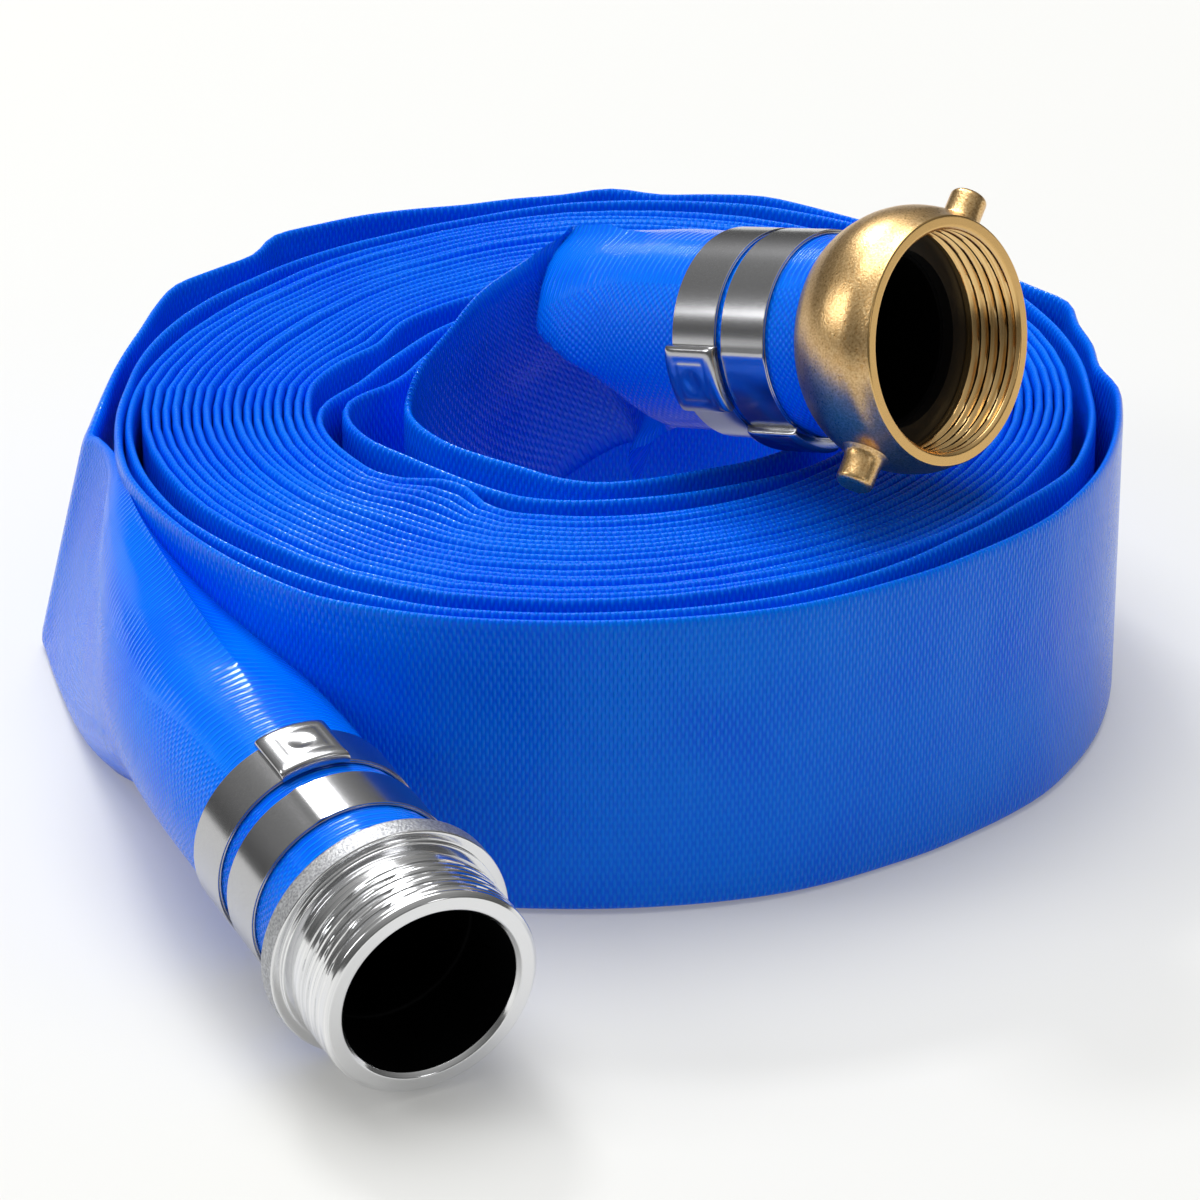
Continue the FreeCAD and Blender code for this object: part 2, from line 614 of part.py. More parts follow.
middle_line = make_roll()
half_height = VECTOR(0, 0, FLAT_WIDTH / 2)
outward = (middle_line[0] - middle_line[1]).normalize()
inward = (middle_line[-1] - middle_line[-2]).normalize()
make_end("hose_outer_end", middle_line[0] + half_height, outward, lying(OUTER_END),
         male_plan, MALE_AXIS, MALE_HOSE_START)
make_end("hose_inner_end", middle_line[-1] + half_height, inward, raised(INNER_END),
         swivel_plan, SWIVEL_AXIS, SWIVEL_HOSE_START)
make_male_coupling(male_mouth)
make_swivel_shank(swivel_mouth)
make_swivel_nut(swivel_mouth)
make_gasket(swivel_mouth)
make_clamp("male_front", male_mouth, MALE_AXIS, MALE_HOSE_START + size("male_band_front"))
make_clamp("male_rear", male_mouth, MALE_AXIS, MALE_HOSE_START + size("male_band_rear"))
make_clamp("swivel_front", swivel_mouth, SWIVEL_AXIS, SWIVEL_HOSE_START + size("swivel_band_front"))
make_clamp("swivel_rear", swivel_mouth, SWIVEL_AXIS, SWIVEL_HOSE_START + size("swivel_band_rear"))
document.recompute()

for item in document.Objects:
    if "Invalid" in item.State or "Error" in item.State:
        raise RuntimeError(f"{item.Label} failed: {item.State}")

NODES = ["hose_roll", "hose_outer_end", "hose_inner_end", "male_coupling", "swivel_shank", "swivel_nut", "gasket"]
NODES += [f"{which}_{kind}" for which in BUCKLE_ANGLES for kind in ("band", "buckle")]
os.makedirs("parts", exist_ok=True)
whole = FreeCAD.BoundBox()
for node in NODES:
    shape = document.getObject(node).Shape
    if shape.isNull() or not shape.isValid() or len(shape.Solids) != 1:
        raise RuntimeError(f"{node} is not one sound solid")
    whole.add(shape.optimalBoundingBox(True))
    shape.exportStep(f"parts/{node}.step")
    print(f"{node}: {shape.Volume / 1000:.1f} cm3, {len(shape.Faces)} faces")
length = sum((after - before).Length for before, after in zip(middle_line, middle_line[1:]))
print(f"rolled length {length / 1000:.2f} m, hose width {FLAT_WIDTH:.2f}, height of the threaded mouth {mouth_height:.2f}")
print(f"whole: x {whole.XMin:.2f} to {whole.XMax:.2f}, y {whole.YMin:.2f} to {whole.YMax:.2f}, "
      f"z {whole.ZMin:.3f} to {whole.ZMax:.2f}")
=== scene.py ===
# %% [markdown]
# # A rolled fire hose, piece by piece
#
# The object is a 2 inch lay-flat discharge hose: a woven tube coated with blue PVC, rolled up flat on its
# edge.  Its outer end carries a turned aluminium coupling with an outside thread, and its inner end a
# sand-cast brass swivel nut.  Two steel straps clamp each coupling into the hose.
#
# The engineering model gives the places of the couplings, the straps and the turns, and every piece below
# is a new surface in the same frame.  Lengths are written in millimetres and turned into metres once, where
# a mesh is made.

# %% Open the frame
import json
import math
import bpy
import numpy as np
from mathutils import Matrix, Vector


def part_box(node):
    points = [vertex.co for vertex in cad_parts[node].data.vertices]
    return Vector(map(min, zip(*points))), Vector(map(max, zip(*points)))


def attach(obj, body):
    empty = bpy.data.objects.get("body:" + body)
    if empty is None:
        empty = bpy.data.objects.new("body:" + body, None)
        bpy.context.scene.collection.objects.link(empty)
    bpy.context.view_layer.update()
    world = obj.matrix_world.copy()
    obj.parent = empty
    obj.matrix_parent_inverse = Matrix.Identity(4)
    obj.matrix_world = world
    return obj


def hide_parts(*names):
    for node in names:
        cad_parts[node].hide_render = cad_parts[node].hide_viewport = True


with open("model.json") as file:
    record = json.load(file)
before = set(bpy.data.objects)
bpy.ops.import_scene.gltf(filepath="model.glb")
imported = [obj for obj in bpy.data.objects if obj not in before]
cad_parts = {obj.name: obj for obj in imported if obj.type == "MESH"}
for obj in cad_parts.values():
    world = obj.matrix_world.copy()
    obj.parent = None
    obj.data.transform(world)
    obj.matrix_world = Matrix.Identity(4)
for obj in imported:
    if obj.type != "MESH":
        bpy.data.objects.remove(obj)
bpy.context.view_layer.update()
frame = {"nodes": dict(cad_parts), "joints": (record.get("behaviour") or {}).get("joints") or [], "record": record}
MM = 0.001
mounts = {mount["name"]: mount for mount in frame["record"]["mounts"]}


# %% [markdown]
# ## One way to make a mesh
#
# Such pieces could be drawn by hand, or made from ready solids with modifiers.  Here each is a grid of
# points instead, because a shape is then a formula with its real sizes in it, and all its points are worked
# out at once.  Rows follow one parameter and columns the other.  A tube closes round its columns, and a
# ring closes along its rows too.
#
# Faces have to point outwards, or light and export treat the piece as inside out.  The volume under the
# faces tells: where it is negative, each face is read backwards.

# %% From faces to a piece
def winding(points, faces, caps=()):
    """How to read the corners of the faces so that they point outwards: forwards, or backwards.

    The volume inside is the sum of the prisms under the faces, and it is negative where they point
    inwards."""
    a, b, c, d = (points[faces[:, k]] for k in range(4))
    volume = np.sum(np.cross(a, b) * c + np.cross(a, c) * d)
    for cap in caps:
        volume += np.sum(np.cross(points[cap[0]], points[cap[1:-1]]) * points[cap[2:]])
    return slice(None, None, -1) if volume < 0 else slice(None)


def smooth_piece(name, points, faces, material, sharp=35):
    """A piece with smooth shading, in which edges that bend by more than sharp degrees stay crisp."""
    mesh = bpy.data.meshes.new(name)
    mesh.from_pydata(points * MM, [], faces)
    mesh.shade_smooth()
    mesh.set_sharp_from_angle(angle=math.radians(sharp))
    mesh.materials.append(material)
    piece = bpy.data.objects.new(name, mesh)
    bpy.context.scene.collection.objects.link(piece)
    print(f"{name}: {len(mesh.polygons)} faces, {len(mesh.vertices)} points")
    return piece


# %% From a grid to a piece
def surface(name, points, material, ring=False, across=None, along=None):
    """Quads between neighbouring points of a grid; columns close into a tube, and rows too if ring is set.

    A tube gets a cap on each end.  The UV map, in metres, gives each corner its distance along and across
    the surface, so that a weave keeps its real size."""
    rows, columns = points.shape[:2]
    row = np.arange(rows if ring else rows - 1)[:, None]
    column = np.arange(columns)[None, :]
    next_row = (row + 1) % rows
    next_column = (column + 1) % columns
    corners = [row * columns + column, row * columns + next_column, next_row * columns + next_column,
               next_row * columns + column]
    faces = np.stack(np.broadcast_arrays(*corners), axis=-1).reshape(-1, 4)
    flat = points.reshape(-1, 3)
    ends = []
    if not ring:
        ends = [list(range(columns - 1, -1, -1)), [(rows - 1) * columns + k for k in range(columns)]]
    turn = winding(flat, faces, ends)
    piece = smooth_piece(name, flat, faces[:, turn].tolist() + [end[turn] for end in ends], material)
    if across is not None:
        u = np.broadcast_to(along[:, None], (rows, columns + 1))
        v = np.broadcast_to(across[None, :], (rows, columns + 1))
        at_row = np.broadcast_to(row, (rows - 1, columns)).ravel()
        at_column = np.broadcast_to(column, (rows - 1, columns)).ravel()
        steps = [(0, 0), (0, 1), (1, 1), (1, 0)]
        uv = np.stack([np.stack([u[at_row + i, at_column + j], v[at_row + i, at_column + j]], axis=-1)
                       for i, j in steps], axis=1)[:, turn]
        loops = np.zeros((len(piece.data.loops), 2))
        loops[:len(faces) * 4] = uv.reshape(-1, 2) * MM
        layer = piece.data.uv_layers.new(name="weave")
        layer.data.foreach_set("uv", loops.ravel())
    return piece


# %% [markdown]
# ## Finishes
#
# A finish is a Principled shader with a few nodes for what the maker's process left on the surface.
# Painted pictures could give such finishes too, but nodes keep each pattern at its real size on every piece
# and need no file.  Colours are written as sRGB hex values, and the shader wants linear light, so one
# function turns one into the other.  One more function adds a node, sets it and plugs in its inputs.

# %% Colour and node helpers
def linear(hex_colour):
    """sRGB to linear: c/12.92 below 0.04045, and ((c + 0.055)/1.055) to the power 2.4 above it."""
    parts = [int(hex_colour[k:k + 2], 16) / 255 for k in (1, 3, 5)]
    return tuple(c / 12.92 if c <= 0.04045 else ((c + 0.055) / 1.055) ** 2.4 for c in parts) + (1.0,)


def add_node(tree, kind, inputs=None, **settings):
    """A node with its settings, and each input given either a value or the output that feeds it."""
    made = tree.nodes.new(kind)
    for name, value in settings.items():
        setattr(made, name, value)
    for name, source in (inputs or {}).items():
        if isinstance(source, bpy.types.NodeSocket):
            tree.links.new(source, made.inputs[name])
        else:
            made.inputs[name].default_value = source
    return made


def finish(name, **constants):
    """A new material with one Principled shader, its fixed values set on the shader's own sockets."""
    material = bpy.data.materials.new(name)
    material.use_nodes = True
    tree = material.node_tree
    shader = tree.nodes["Principled BSDF"]
    for socket, value in constants.items():
        shader.inputs[socket.replace("_", " ")].default_value = value
    return material, tree, shader


# %% [markdown]
# ### Blue PVC over woven yarn
#
# The hose is woven first and coated afterwards.  The coat is thin, so the yarns show through as bumps: each
# yarn that goes round the hose rises over a lengthwise yarn and dives under the next one, and its neighbour
# does the opposite.  A yarn is about 1 mm wide and comes up every 4.4 mm.
#
# As a mesh that would be more than half a million bumps, so the shader makes them.  They are worked out
# from the UV map, which holds real distances along and round the hose, and the girth is a whole number of
# rises, so the pattern closes.

# %% The hose's coat
YARN = 1.05
RISES_ROUND = 40
HOSE_RADIUS = 27.85
GIRTH = 2 * math.pi * HOSE_RADIUS
RISE = GIRTH / RISES_ROUND
WEAVE_DEPTH = 0.3
WRINKLE = 14.0
WRINKLE_DEPTH = 1.2
CLOUD = 40.0


def weave_height(tree):
    """Height of the weave: the ridge of a yarn times how far it has risen at this place.

    The ridge is 1 - (2 f - 1)^2, where f runs from 0 to 1 across a yarn.  The rise is 0.5 + 0.5 cos, with
    half a turn added on every second yarn."""
    place = add_node(tree, "ShaderNodeUVMap", uv_map="weave")
    parts = add_node(tree, "ShaderNodeSeparateXYZ", {"Vector": place.outputs[0]})
    yarns = add_node(tree, "ShaderNodeMath", {0: parts.outputs["X"], 1: 1 / (YARN * MM)},
                     operation="MULTIPLY")
    number = add_node(tree, "ShaderNodeMath", {0: yarns.outputs[0]}, operation="FLOOR")
    share = add_node(tree, "ShaderNodeMath", {0: yarns.outputs[0]}, operation="FRACT")
    centred = add_node(tree, "ShaderNodeMath", {0: share.outputs[0], 1: 2.0, 2: -1.0},
                       operation="MULTIPLY_ADD")
    squared = add_node(tree, "ShaderNodeMath", {0: centred.outputs[0], 1: centred.outputs[0]},
                       operation="MULTIPLY")
    ridge = add_node(tree, "ShaderNodeMath", {0: 1.0, 1: squared.outputs[0]}, operation="SUBTRACT")
    turns = add_node(tree, "ShaderNodeMath", {0: number.outputs[0], 1: math.pi}, operation="MULTIPLY")
    angle = add_node(tree, "ShaderNodeMath", {0: parts.outputs["Y"], 1: 2 * math.pi / (RISE * MM),
                                              2: turns.outputs[0]}, operation="MULTIPLY_ADD")
    wave = add_node(tree, "ShaderNodeMath", {0: angle.outputs[0]}, operation="COSINE")
    risen = add_node(tree, "ShaderNodeMath", {0: wave.outputs[0], 1: 0.5, 2: 0.5}, operation="MULTIPLY_ADD")
    return add_node(tree, "ShaderNodeMath", {0: ridge.outputs[0], 1: risen.outputs[0]}, operation="MULTIPLY")


def coated_hose():
    """Glossy blue PVC: a deep, even blue with crisp glints on its bumps.

    The bumps are the weave and, WRINKLE apart, the shallow wrinkles of a used hose.  The colour follows 0.8
    of the weave's height plus a cloud CLOUD wide: lighter yarn tops are a painted highlight and darker
    valleys between them painted shade, and the cloud is the coat's uneven tone.  Plain PVC reflects at
    level 0.5; 0.34 and a blue tint keep the pale room from greying the blue."""
    material, tree, shader = finish("PVC_coated_weave", Roughness=0.14, Specular_IOR_Level=0.34,
                                    Specular_Tint=linear("#8CC8FF"))
    height = weave_height(tree)
    place = add_node(tree, "ShaderNodeTexCoord")
    cloud = add_node(tree, "ShaderNodeTexNoise", {"Vector": place.outputs["Object"],
                                                  "Scale": 1 / (CLOUD * MM)})
    # The weave's height paints the yarn tops lighter, a painted highlight, and the valleys darker, painted shade;
    # the cloud noise is uneven tone.
    both = add_node(tree, "ShaderNodeMath", {0: height.outputs[0], 1: 0.8, 2: cloud.outputs["Fac"]},
                    operation="MULTIPLY_ADD")
    colour = add_node(tree, "ShaderNodeValToRGB", {"Fac": both.outputs[0]})
    colour.color_ramp.elements[0].position = 0.40
    colour.color_ramp.elements[0].color = linear("#0060FC")
    colour.color_ramp.elements[1].position = 1.0
    colour.color_ramp.elements[1].color = linear("#007CFF")
    creased = add_node(tree, "ShaderNodeTexNoise", {"Vector": place.outputs["Object"],
                                                    "Scale": 1 / (WRINKLE * MM), "Detail": 2.0})
    wrinkles = add_node(tree, "ShaderNodeBump", {"Height": creased.outputs["Fac"], "Strength": 0.5,
                                                 "Distance": WRINKLE_DEPTH * MM})
    bump = add_node(tree, "ShaderNodeBump", {"Height": height.outputs[0], "Strength": 0.9,
                                             "Distance": WEAVE_DEPTH * MM,
                                             "Normal": wrinkles.outputs["Normal"]})
    tree.links.new(colour.outputs["Color"], shader.inputs["Base Color"])
    tree.links.new(bump.outputs["Normal"], shader.inputs["Normal"])
    return material


def dark_lining():
    """The inside of the hose: the same PVC, matt, and too deep in for light, so that it looks black."""
    material, _, _ = finish("PVC_lining", Base_Color=linear("#0A0C12"), Roughness=0.6)
    return material


hose_coat = coated_hose()
lining = dark_lining()
print("finish:", hose_coat.name, "with yarns of", YARN, "mm and rises of", round(RISE, 2), "mm")


# %% [markdown]
# ### Metals, rubber and steel strap
#
# What a metal shows is how it was made.  A sand casting keeps the grain of its mould, small bumps about 0.6
# mm across, and one noise gives them with their colour and their gloss.  Turned metal is bright, with fine
# rings left by the tool, which a noise of the distance along the axis draws.  Rolled stainless strip is
# close to a mirror, and its fine grain only softens the light a little.  The grain could be modelled too,
# but it is far finer than a mesh of sensible size.

# %% Cast metal, rolled strip and the dark waterway
def grained(name, colours, grain, depth, roughness):
    """A metal whose surface has a random grain: a noise bump of one real grain size, and two close colours.

    The roughness runs between its two values with the same noise."""
    material, tree, shader = finish(name, Metallic=1.0)
    place = add_node(tree, "ShaderNodeTexCoord")
    noise = add_node(tree, "ShaderNodeTexNoise", {"Vector": place.outputs["Object"],
                                                  "Scale": 1 / (grain * MM), "Detail": 3.0, "Roughness": 0.6})
    colour = add_node(tree, "ShaderNodeValToRGB", {"Fac": noise.outputs["Fac"]})
    colour.color_ramp.elements[0].position = 0.35
    colour.color_ramp.elements[0].color = linear(colours[0])
    colour.color_ramp.elements[1].position = 0.65
    colour.color_ramp.elements[1].color = linear(colours[1])
    spread = add_node(tree, "ShaderNodeMapRange", {"Value": noise.outputs["Fac"], "To Min": roughness[0],
                                                   "To Max": roughness[1]})
    bump = add_node(tree, "ShaderNodeBump", {"Height": noise.outputs["Fac"], "Strength": 0.8,
                                             "Distance": depth * MM})
    tree.links.new(colour.outputs["Color"], shader.inputs["Base Color"])
    tree.links.new(spread.outputs["Result"], shader.inputs["Roughness"])
    tree.links.new(bump.outputs["Normal"], shader.inputs["Normal"])
    return material


# Dull and pale, with a sandy grain: the rim of the flange as it left its mould.
cast_aluminium = grained("aluminium_sand_cast", ("#8F9093", "#C4C5C7"), 0.7, 0.25, (0.35, 0.55))
# Warm and softly bright, with a fine sparkle: the outside of the nut.
cast_brass = grained("brass_sand_cast", ("#CC9F64", "#F0CE96"), 0.6, 0.11, (0.24, 0.34))
# Bands of light and dark with soft edges: the straps mirror the room.
steel_strap = grained("stainless_rolled_strip", ("#B2B2B4", "#BCBCBE"), 0.4, 0.0015, (0.17, 0.22))
# Nearly black: the cast wall of a waterway that light doesn't reach.
dark_waterway = grained("aluminium_unlit_waterway", ("#1A1A1B", "#202021"), 1.0, 0.05, (0.5, 0.6))
print("metals:", [material.name for material in bpy.data.materials])


# %% Turned metal
RING_SPACING = 0.5
RING_DEPTH = 0.012


def turned(name, colours, axis, roughness):
    """A metal cut on a lathe: rings round the axis, from a noise of the distance along it alone.

    A real tool leaves rings about 0.2 mm apart.  RING_SPACING is wider, so that they show."""
    material, tree, shader = finish(name, Metallic=1.0, Roughness=roughness)
    place = add_node(tree, "ShaderNodeTexCoord")
    distance = add_node(tree, "ShaderNodeVectorMath", {0: place.outputs["Object"], 1: tuple(axis)},
                        operation="DOT_PRODUCT")
    noise = add_node(tree, "ShaderNodeTexNoise", {"W": distance.outputs["Value"],
                                                  "Scale": 1 / (RING_SPACING * MM)}, noise_dimensions="1D")
    colour = add_node(tree, "ShaderNodeValToRGB", {"Fac": noise.outputs["Fac"]})
    colour.color_ramp.elements[0].position = 0.3
    colour.color_ramp.elements[0].color = linear(colours[0])
    colour.color_ramp.elements[1].position = 0.7
    colour.color_ramp.elements[1].color = linear(colours[1])
    bump = add_node(tree, "ShaderNodeBump", {"Height": noise.outputs["Fac"], "Strength": 0.25,
                                             "Distance": RING_DEPTH * MM})
    tree.links.new(colour.outputs["Color"], shader.inputs["Base Color"])
    tree.links.new(bump.outputs["Normal"], shader.inputs["Normal"])
    return material


print("turned metal has rings every", RING_SPACING, "mm")


# %% Nitrile rubber
RUBBER_GRAIN = 0.3
RUBBER_DEPTH = 0.05


def moulded_rubber():
    """Black rubber: dark, with a soft sheen and the faint grain of its mould."""
    material, tree, shader = finish("nitrile_rubber_moulded", Base_Color=linear("#141415"), Roughness=0.42)
    place = add_node(tree, "ShaderNodeTexCoord")
    noise = add_node(tree, "ShaderNodeTexNoise", {"Vector": place.outputs["Object"],
                                                  "Scale": 1 / (RUBBER_GRAIN * MM)})
    bump = add_node(tree, "ShaderNodeBump", {"Height": noise.outputs["Fac"], "Strength": 0.3,
                                             "Distance": RUBBER_DEPTH * MM})
    tree.links.new(bump.outputs["Normal"], shader.inputs["Normal"])
    return material


rubber = moulded_rubber()
print("finish:", rubber.name, "with a grain of", RUBBER_GRAIN, "mm")


# %% [markdown]
# ## The line of the hose
#
# The hose is one piece, 15 m long.  Its middle line starts at the threaded coupling, enters the roll from
# the left, winds inwards and rises out of the hollow to the swivel.  A cloth simulation could wind it, but
# 15 m of stiff cloth is a heavy one, and its kinks would fall anywhere.  So the line is worked out.
#
# The innermost packed turn has a radius for each direction, and each turn outside it adds the thickness of
# the flat hose and a little air.  The loose outer turns are given by their distance from the turn inside,
# and the loose inner turns by their places.  These tables are the engineering model's.  The kinks of the
# outermost turn are added here.

# %% Tables of the roll, in millimetres and degrees
# Packed turns: angle, radius of the innermost one, air between two turns.
PACK = np.array([
    (0, 82.8, 0.40), (12, 77.6, 0.45), (24, 76.3, 0.32), (36, 74.9, 0.27), (60, 76.3, 0.29),
    (72, 79.2, 0.30), (84, 80.5, 0.40), (108, 81.7, 0.40), (132, 81.2, 0.35), (156, 80.7, 0.35),
    (204, 81.0, 0.30), (228, 82.5, 0.35), (252, 84.8, 0.40), (276, 88.3, 0.50), (288, 89.4, 0.58),
    (300, 89.2, 0.57), (312, 88.0, 0.45), (336, 86.4, 0.35), (348, 84.8, 0.37), (360, 82.8, 0.40)])
# Loose outer turns: winding angle, distance from the turn inside.
LOOSE = np.array([
    (18, 8.6), (24, 11.0), (36, 15.6), (48, 17.3), (60, 15.7), (72, 12.4), (84, 9.6), (96, 8.2), (108, 6.4),
    (132, 7.0), (144, 7.8), (156, 12.0), (168, 10.3), (180, 7.4), (204, 7.4), (216, 11.0), (228, 9.0),
    (240, 6.4), (264, 4.9), (276, 4.3), (288, 5.0), (300, 7.9), (312, 6.2), (324, 3.8), (336, 4.0),
    (348, 3.1), (360, 2.95), (372, 5.7), (384, 7.5), (396, 7.8), (420, 7.1), (432, 6.3), (444, 7.9),
    (456, 9.7), (468, 11.8), (480, 11.7), (492, 9.6), (504, 7.1), (516, 6.0), (540, 5.6), (552, 7.4),
    (564, 9.2), (576, 5.6), (588, 5.5), (600, 7.3), (612, 9.3), (636, 8.7), (648, 7.9), (660, 7.0),
    (672, 8.2), (684, 8.6), (696, 7.2), (708, 5.0), (720, 2.85)])
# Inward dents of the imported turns: middle, half width, depth of the innermost.
DENTS = [(24.0, 15.0, 5.4), (303.0, 14.0, 11.0)]
# Kinks of the outermost turn: winding angle, how far it stands out.
KINKS = np.array([
    (18, 0.0), (30, 2.5), (36, -1.5), (42, -4.0), (48, 2.0), (60, 1.5), (72, -2.0), (84, -2.5), (90, 1.0),
    (96, -3.5), (108, 1.0), (120, -3.5), (132, -3.0), (144, -4.0), (150, -3.8), (156, -1.9), (162, -4.8),
    (174, -4.5), (180, 0.5), (192, 0.0)])
# Loose inner turns, seen from above: across and forward.
INNER_TURNS = np.array([
    (-80.6, -9.8), (-77.6, -4.6), (-72.0, 3.5), (-66.7, 14.2), (-60.2, 25.8), (-53.0, 37.5), (-41.0, 51.0),
    (-25.0, 64.0), (5.0, 74.0), (38.0, 66.5), (63.5, 43.0), (76.5, 5.0), (70.5, -33.0), (54.5, -54.0),
    (32.4, -66.3), (18.5, -71.6), (-3.4, -75.7), (-14.3, -75.9), (-25.3, -73.3), (-36.4, -65.9),
    (-47.6, -56.0), (-59.1, -44.6), (-66.3, -37.5), (-71.4, -29.5), (-75.0, -18.8), (-74.6, -9.8),
    (-69.8, -2.8), (-64.4, 2.2), (-59.4, 9.8), (-54.5, 21.5), (-46.0, 38.0), (-30.0, 53.0), (-8.0, 61.0),
    (30.0, 59.0), (57.0, 35.0), (65.0, 0.0), (57.0, -33.0), (40.0, -49.0), (24.3, -56.2), (9.8, -61.8),
    (-5.5, -64.2), (-14.8, -61.2), (-25.6, -53.6), (-36.8, -45.8), (-44.4, -39.6), (-51.1, -31.2),
    (-55.8, -22.3), (-57.8, -14.0)])
HOSE_FOLD = 2.5
PACKED_TURNS = 18
WIND_STEP = 6
# The loose inner turns take over this many degrees before the last packed turn is full.
HANDOVER = 36
roll_low, roll_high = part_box("hose_roll")
FLAT_WIDTH = (roll_high.z - roll_low.z) / MM
print(f"the flat hose is {FLAT_WIDTH:.2f} mm wide")


# %% From the tables to the middle line
def roll_radius(wind):
    """Radius for each winding angle, as one array.

    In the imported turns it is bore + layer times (fold + air), less the dents, which fade with the cube of
    the nearness to the bore.  In the loose turns it is the radius one turn further in plus the distance to
    it."""
    outer = LOOSE[-1, 0]
    packed = np.maximum(wind, outer) - outer
    angle = packed % 360
    layer = PACKED_TURNS - packed / 360
    radius = np.interp(angle, PACK[:, 0], PACK[:, 1])
    radius += layer * (HOSE_FOLD + np.interp(angle, PACK[:, 0], PACK[:, 2]))
    for middle, half_width, depth in DENTS:
        reach = np.clip(np.abs(angle - middle) / half_width, 0, 1)
        radius -= depth * (1 - layer / PACKED_TURNS) ** 3 * (1 + np.cos(np.pi * reach)) / 2
    loose = wind < outer
    if loose.any():
        inside = roll_radius(wind[loose] + 360)
        radius[loose] = inside + np.interp(wind[loose], LOOSE[:, 0], LOOSE[:, 1])
    return radius


first_wind = LOOSE[0, 0]
last_wind = LOOSE[-1, 0] + 360 * PACKED_TURNS - HANDOVER
winds = np.arange(first_wind, last_wind + 1, WIND_STEP)
radii = roll_radius(winds) + np.interp(winds, KINKS[:, 0], KINKS[:, 1])
spiral = np.stack([-radii * np.cos(np.radians(winds)), radii * np.sin(np.radians(winds))], axis=1)
roll_plan = np.vstack([spiral, INNER_TURNS])
print(f"{len(winds)} stations in the wound turns, radius {radii.min():.1f} to {radii.max():.1f} mm")


# %% [markdown]
# ### Where the couplings are
#
# The couplings give the two ends of the line.  Their places could be typed in, but the record knows them:
# the mount on the outside thread lies half a thread behind its mouth, and the swivel's joint lies in the
# middle of its mouth.  A coupling's own directions are up, right and back, so that a place on it is a
# radius, an angle from the top (clockwise seen from the mouth) and a station behind the mouth.

# %% Places on a coupling
class Coupling:
    """The mouth of a coupling and its three directions."""

    def __init__(self, mouth, axis):
        self.mouth = np.array(mouth)
        self.axis = np.array(axis) / np.linalg.norm(axis)
        side = np.cross(self.axis, (0, 0, 1))
        side /= np.linalg.norm(side)
        self.directions = np.stack([np.cross(side, self.axis), -side, -self.axis])

    def place(self, radius, angle, station):
        """Points at radius, angle in degrees and station, each a number or an array of one shape."""
        turn = np.radians(angle)
        parts = np.stack(np.broadcast_arrays(radius * np.cos(turn), radius * np.sin(turn), station), axis=-1)
        return self.mouth + parts @ self.directions


THREAD_CHAMFER = 1.2
thread = mounts["outlet_thread"]
thread_middle = THREAD_CHAMFER + thread["dims"]["length_mm"] / 2
male_axis = np.array(thread["axis"])
male = Coupling(np.array(thread["pos_m"]) / MM + male_axis * thread_middle, male_axis)
spin = frame["joints"][0]
swivel = Coupling(np.array(spin["pos_m"]) / MM, spin["axis"])
# Stations of the hose's two cut ends.
MALE_HOSE_START = 31.0
SWIVEL_HOSE_START = 30.76
print("mouths in mm:", male.mouth.round(2), swivel.mouth.round(2))


# %% [markdown]
# ### The two free ends
#
# Between the roll and a coupling the flat hose turns, leans and opens into a tube.  A simulation would find
# some such shape, but not the sharp corner and the lean of this one.  What can be read off the real hose,
# at any place, is where its upper and its lower fold are, so an end is a list of such pairs.  How far the
# hose has opened follows from their distance, because its girth stays the same.

# %% Stations of the two free ends
# Across, forward and height of the upper fold and of the lower one, from the middle of the roll.
OUTER_FOLDS = [
    ((-142.5, 17.0, 85.0), (-150.0, 30.0, 0.2)), ((-146.5, -10.4, 80.2), (-162.7, 13.6, 0.3)),
    ((-147.3, -17.0, 79.0), (-165.5, 9.0, 0.3)), ((-145.2, -22.0, 80.5), (-164.5, 2.0, 0.3)),
    ((-139.0, -38.0, 82.0), (-158.5, -22.0, 0.5)), ((-132.5, -68.0, 80.0), (-142.0, -66.0, 2.1)),
    ((-120.5, -100.0, 76.5), (-121.5, -101.5, 9.7)), ((-104.5, -136.0, 71.8), (-101.5, -137.0, 13.8)),
]
INNER_FOLDS = [
    ((-55.0, -9.0, 95.2), (-53.0, 2.0, 10.0)),
    ((-45.9, -4.0, 106.0), (-36.0, 20.0, 24.0)),
    ((-35.9, 0.0, 116.1), (-14.0, 35.0, 42.0)),
    ((-20.9, 3.0, 126.0), (8.5, 32.4, 53.0)),
    ((-13.0, 4.5, 129.5), (7.4, 16.7, 51.6)),
    ((-9.3, 5.0, 131.0), (4.0, 1.7, 66.1)),
    ((1.0, -4.0, 135.0), (11.6, -12.8, 78.0)),
]
HALF_FOLD = HOSE_FOLD / 2
print(len(OUTER_FOLDS), "stations of the outer end and", len(INNER_FOLDS), "of the inner end")


# %% The hose's line from end to end
def half_thickness(opening):
    """From half a fold, flat, to the radius of the round hose."""
    return HALF_FOLD + (HOSE_RADIUS - HALF_FOLD) * opening


def half_width(opening):
    """From fold to fold, with the girth kept: half of (girth/2 - (pi - 2) times half the thickness)."""
    return (GIRTH / 2 - (math.pi - 2) * half_thickness(opening)) / 2


def between_folds(stations):
    """Middle, opening and direction of each station from its two folds.

    The girth stays the same, so folds that come nearer to each other mean a hose that opens: half_width
    solved for the opening."""
    rows = []
    for upper, lower in stations:
        upper, lower = np.array(upper), np.array(lower)
        width = np.linalg.norm(upper - lower)
        opening = (half_width(0.0) - width / 2) / (half_width(0.0) - half_width(1.0))
        rows.append(((upper + lower) / 2, float(np.clip(opening, 0, 1)), tuple((upper - lower) / width)))
    return rows


# The middle of the roll in the frame, from which the tables above are measured.
ROLL_CENTRE = np.array([10.87, 55.93, 0.0])
# Distances from a cut end at which the hose is still round, because it is stretched on its shank.
ROUND_STATIONS = (0.0, 23.0, 46.0, 69.0)


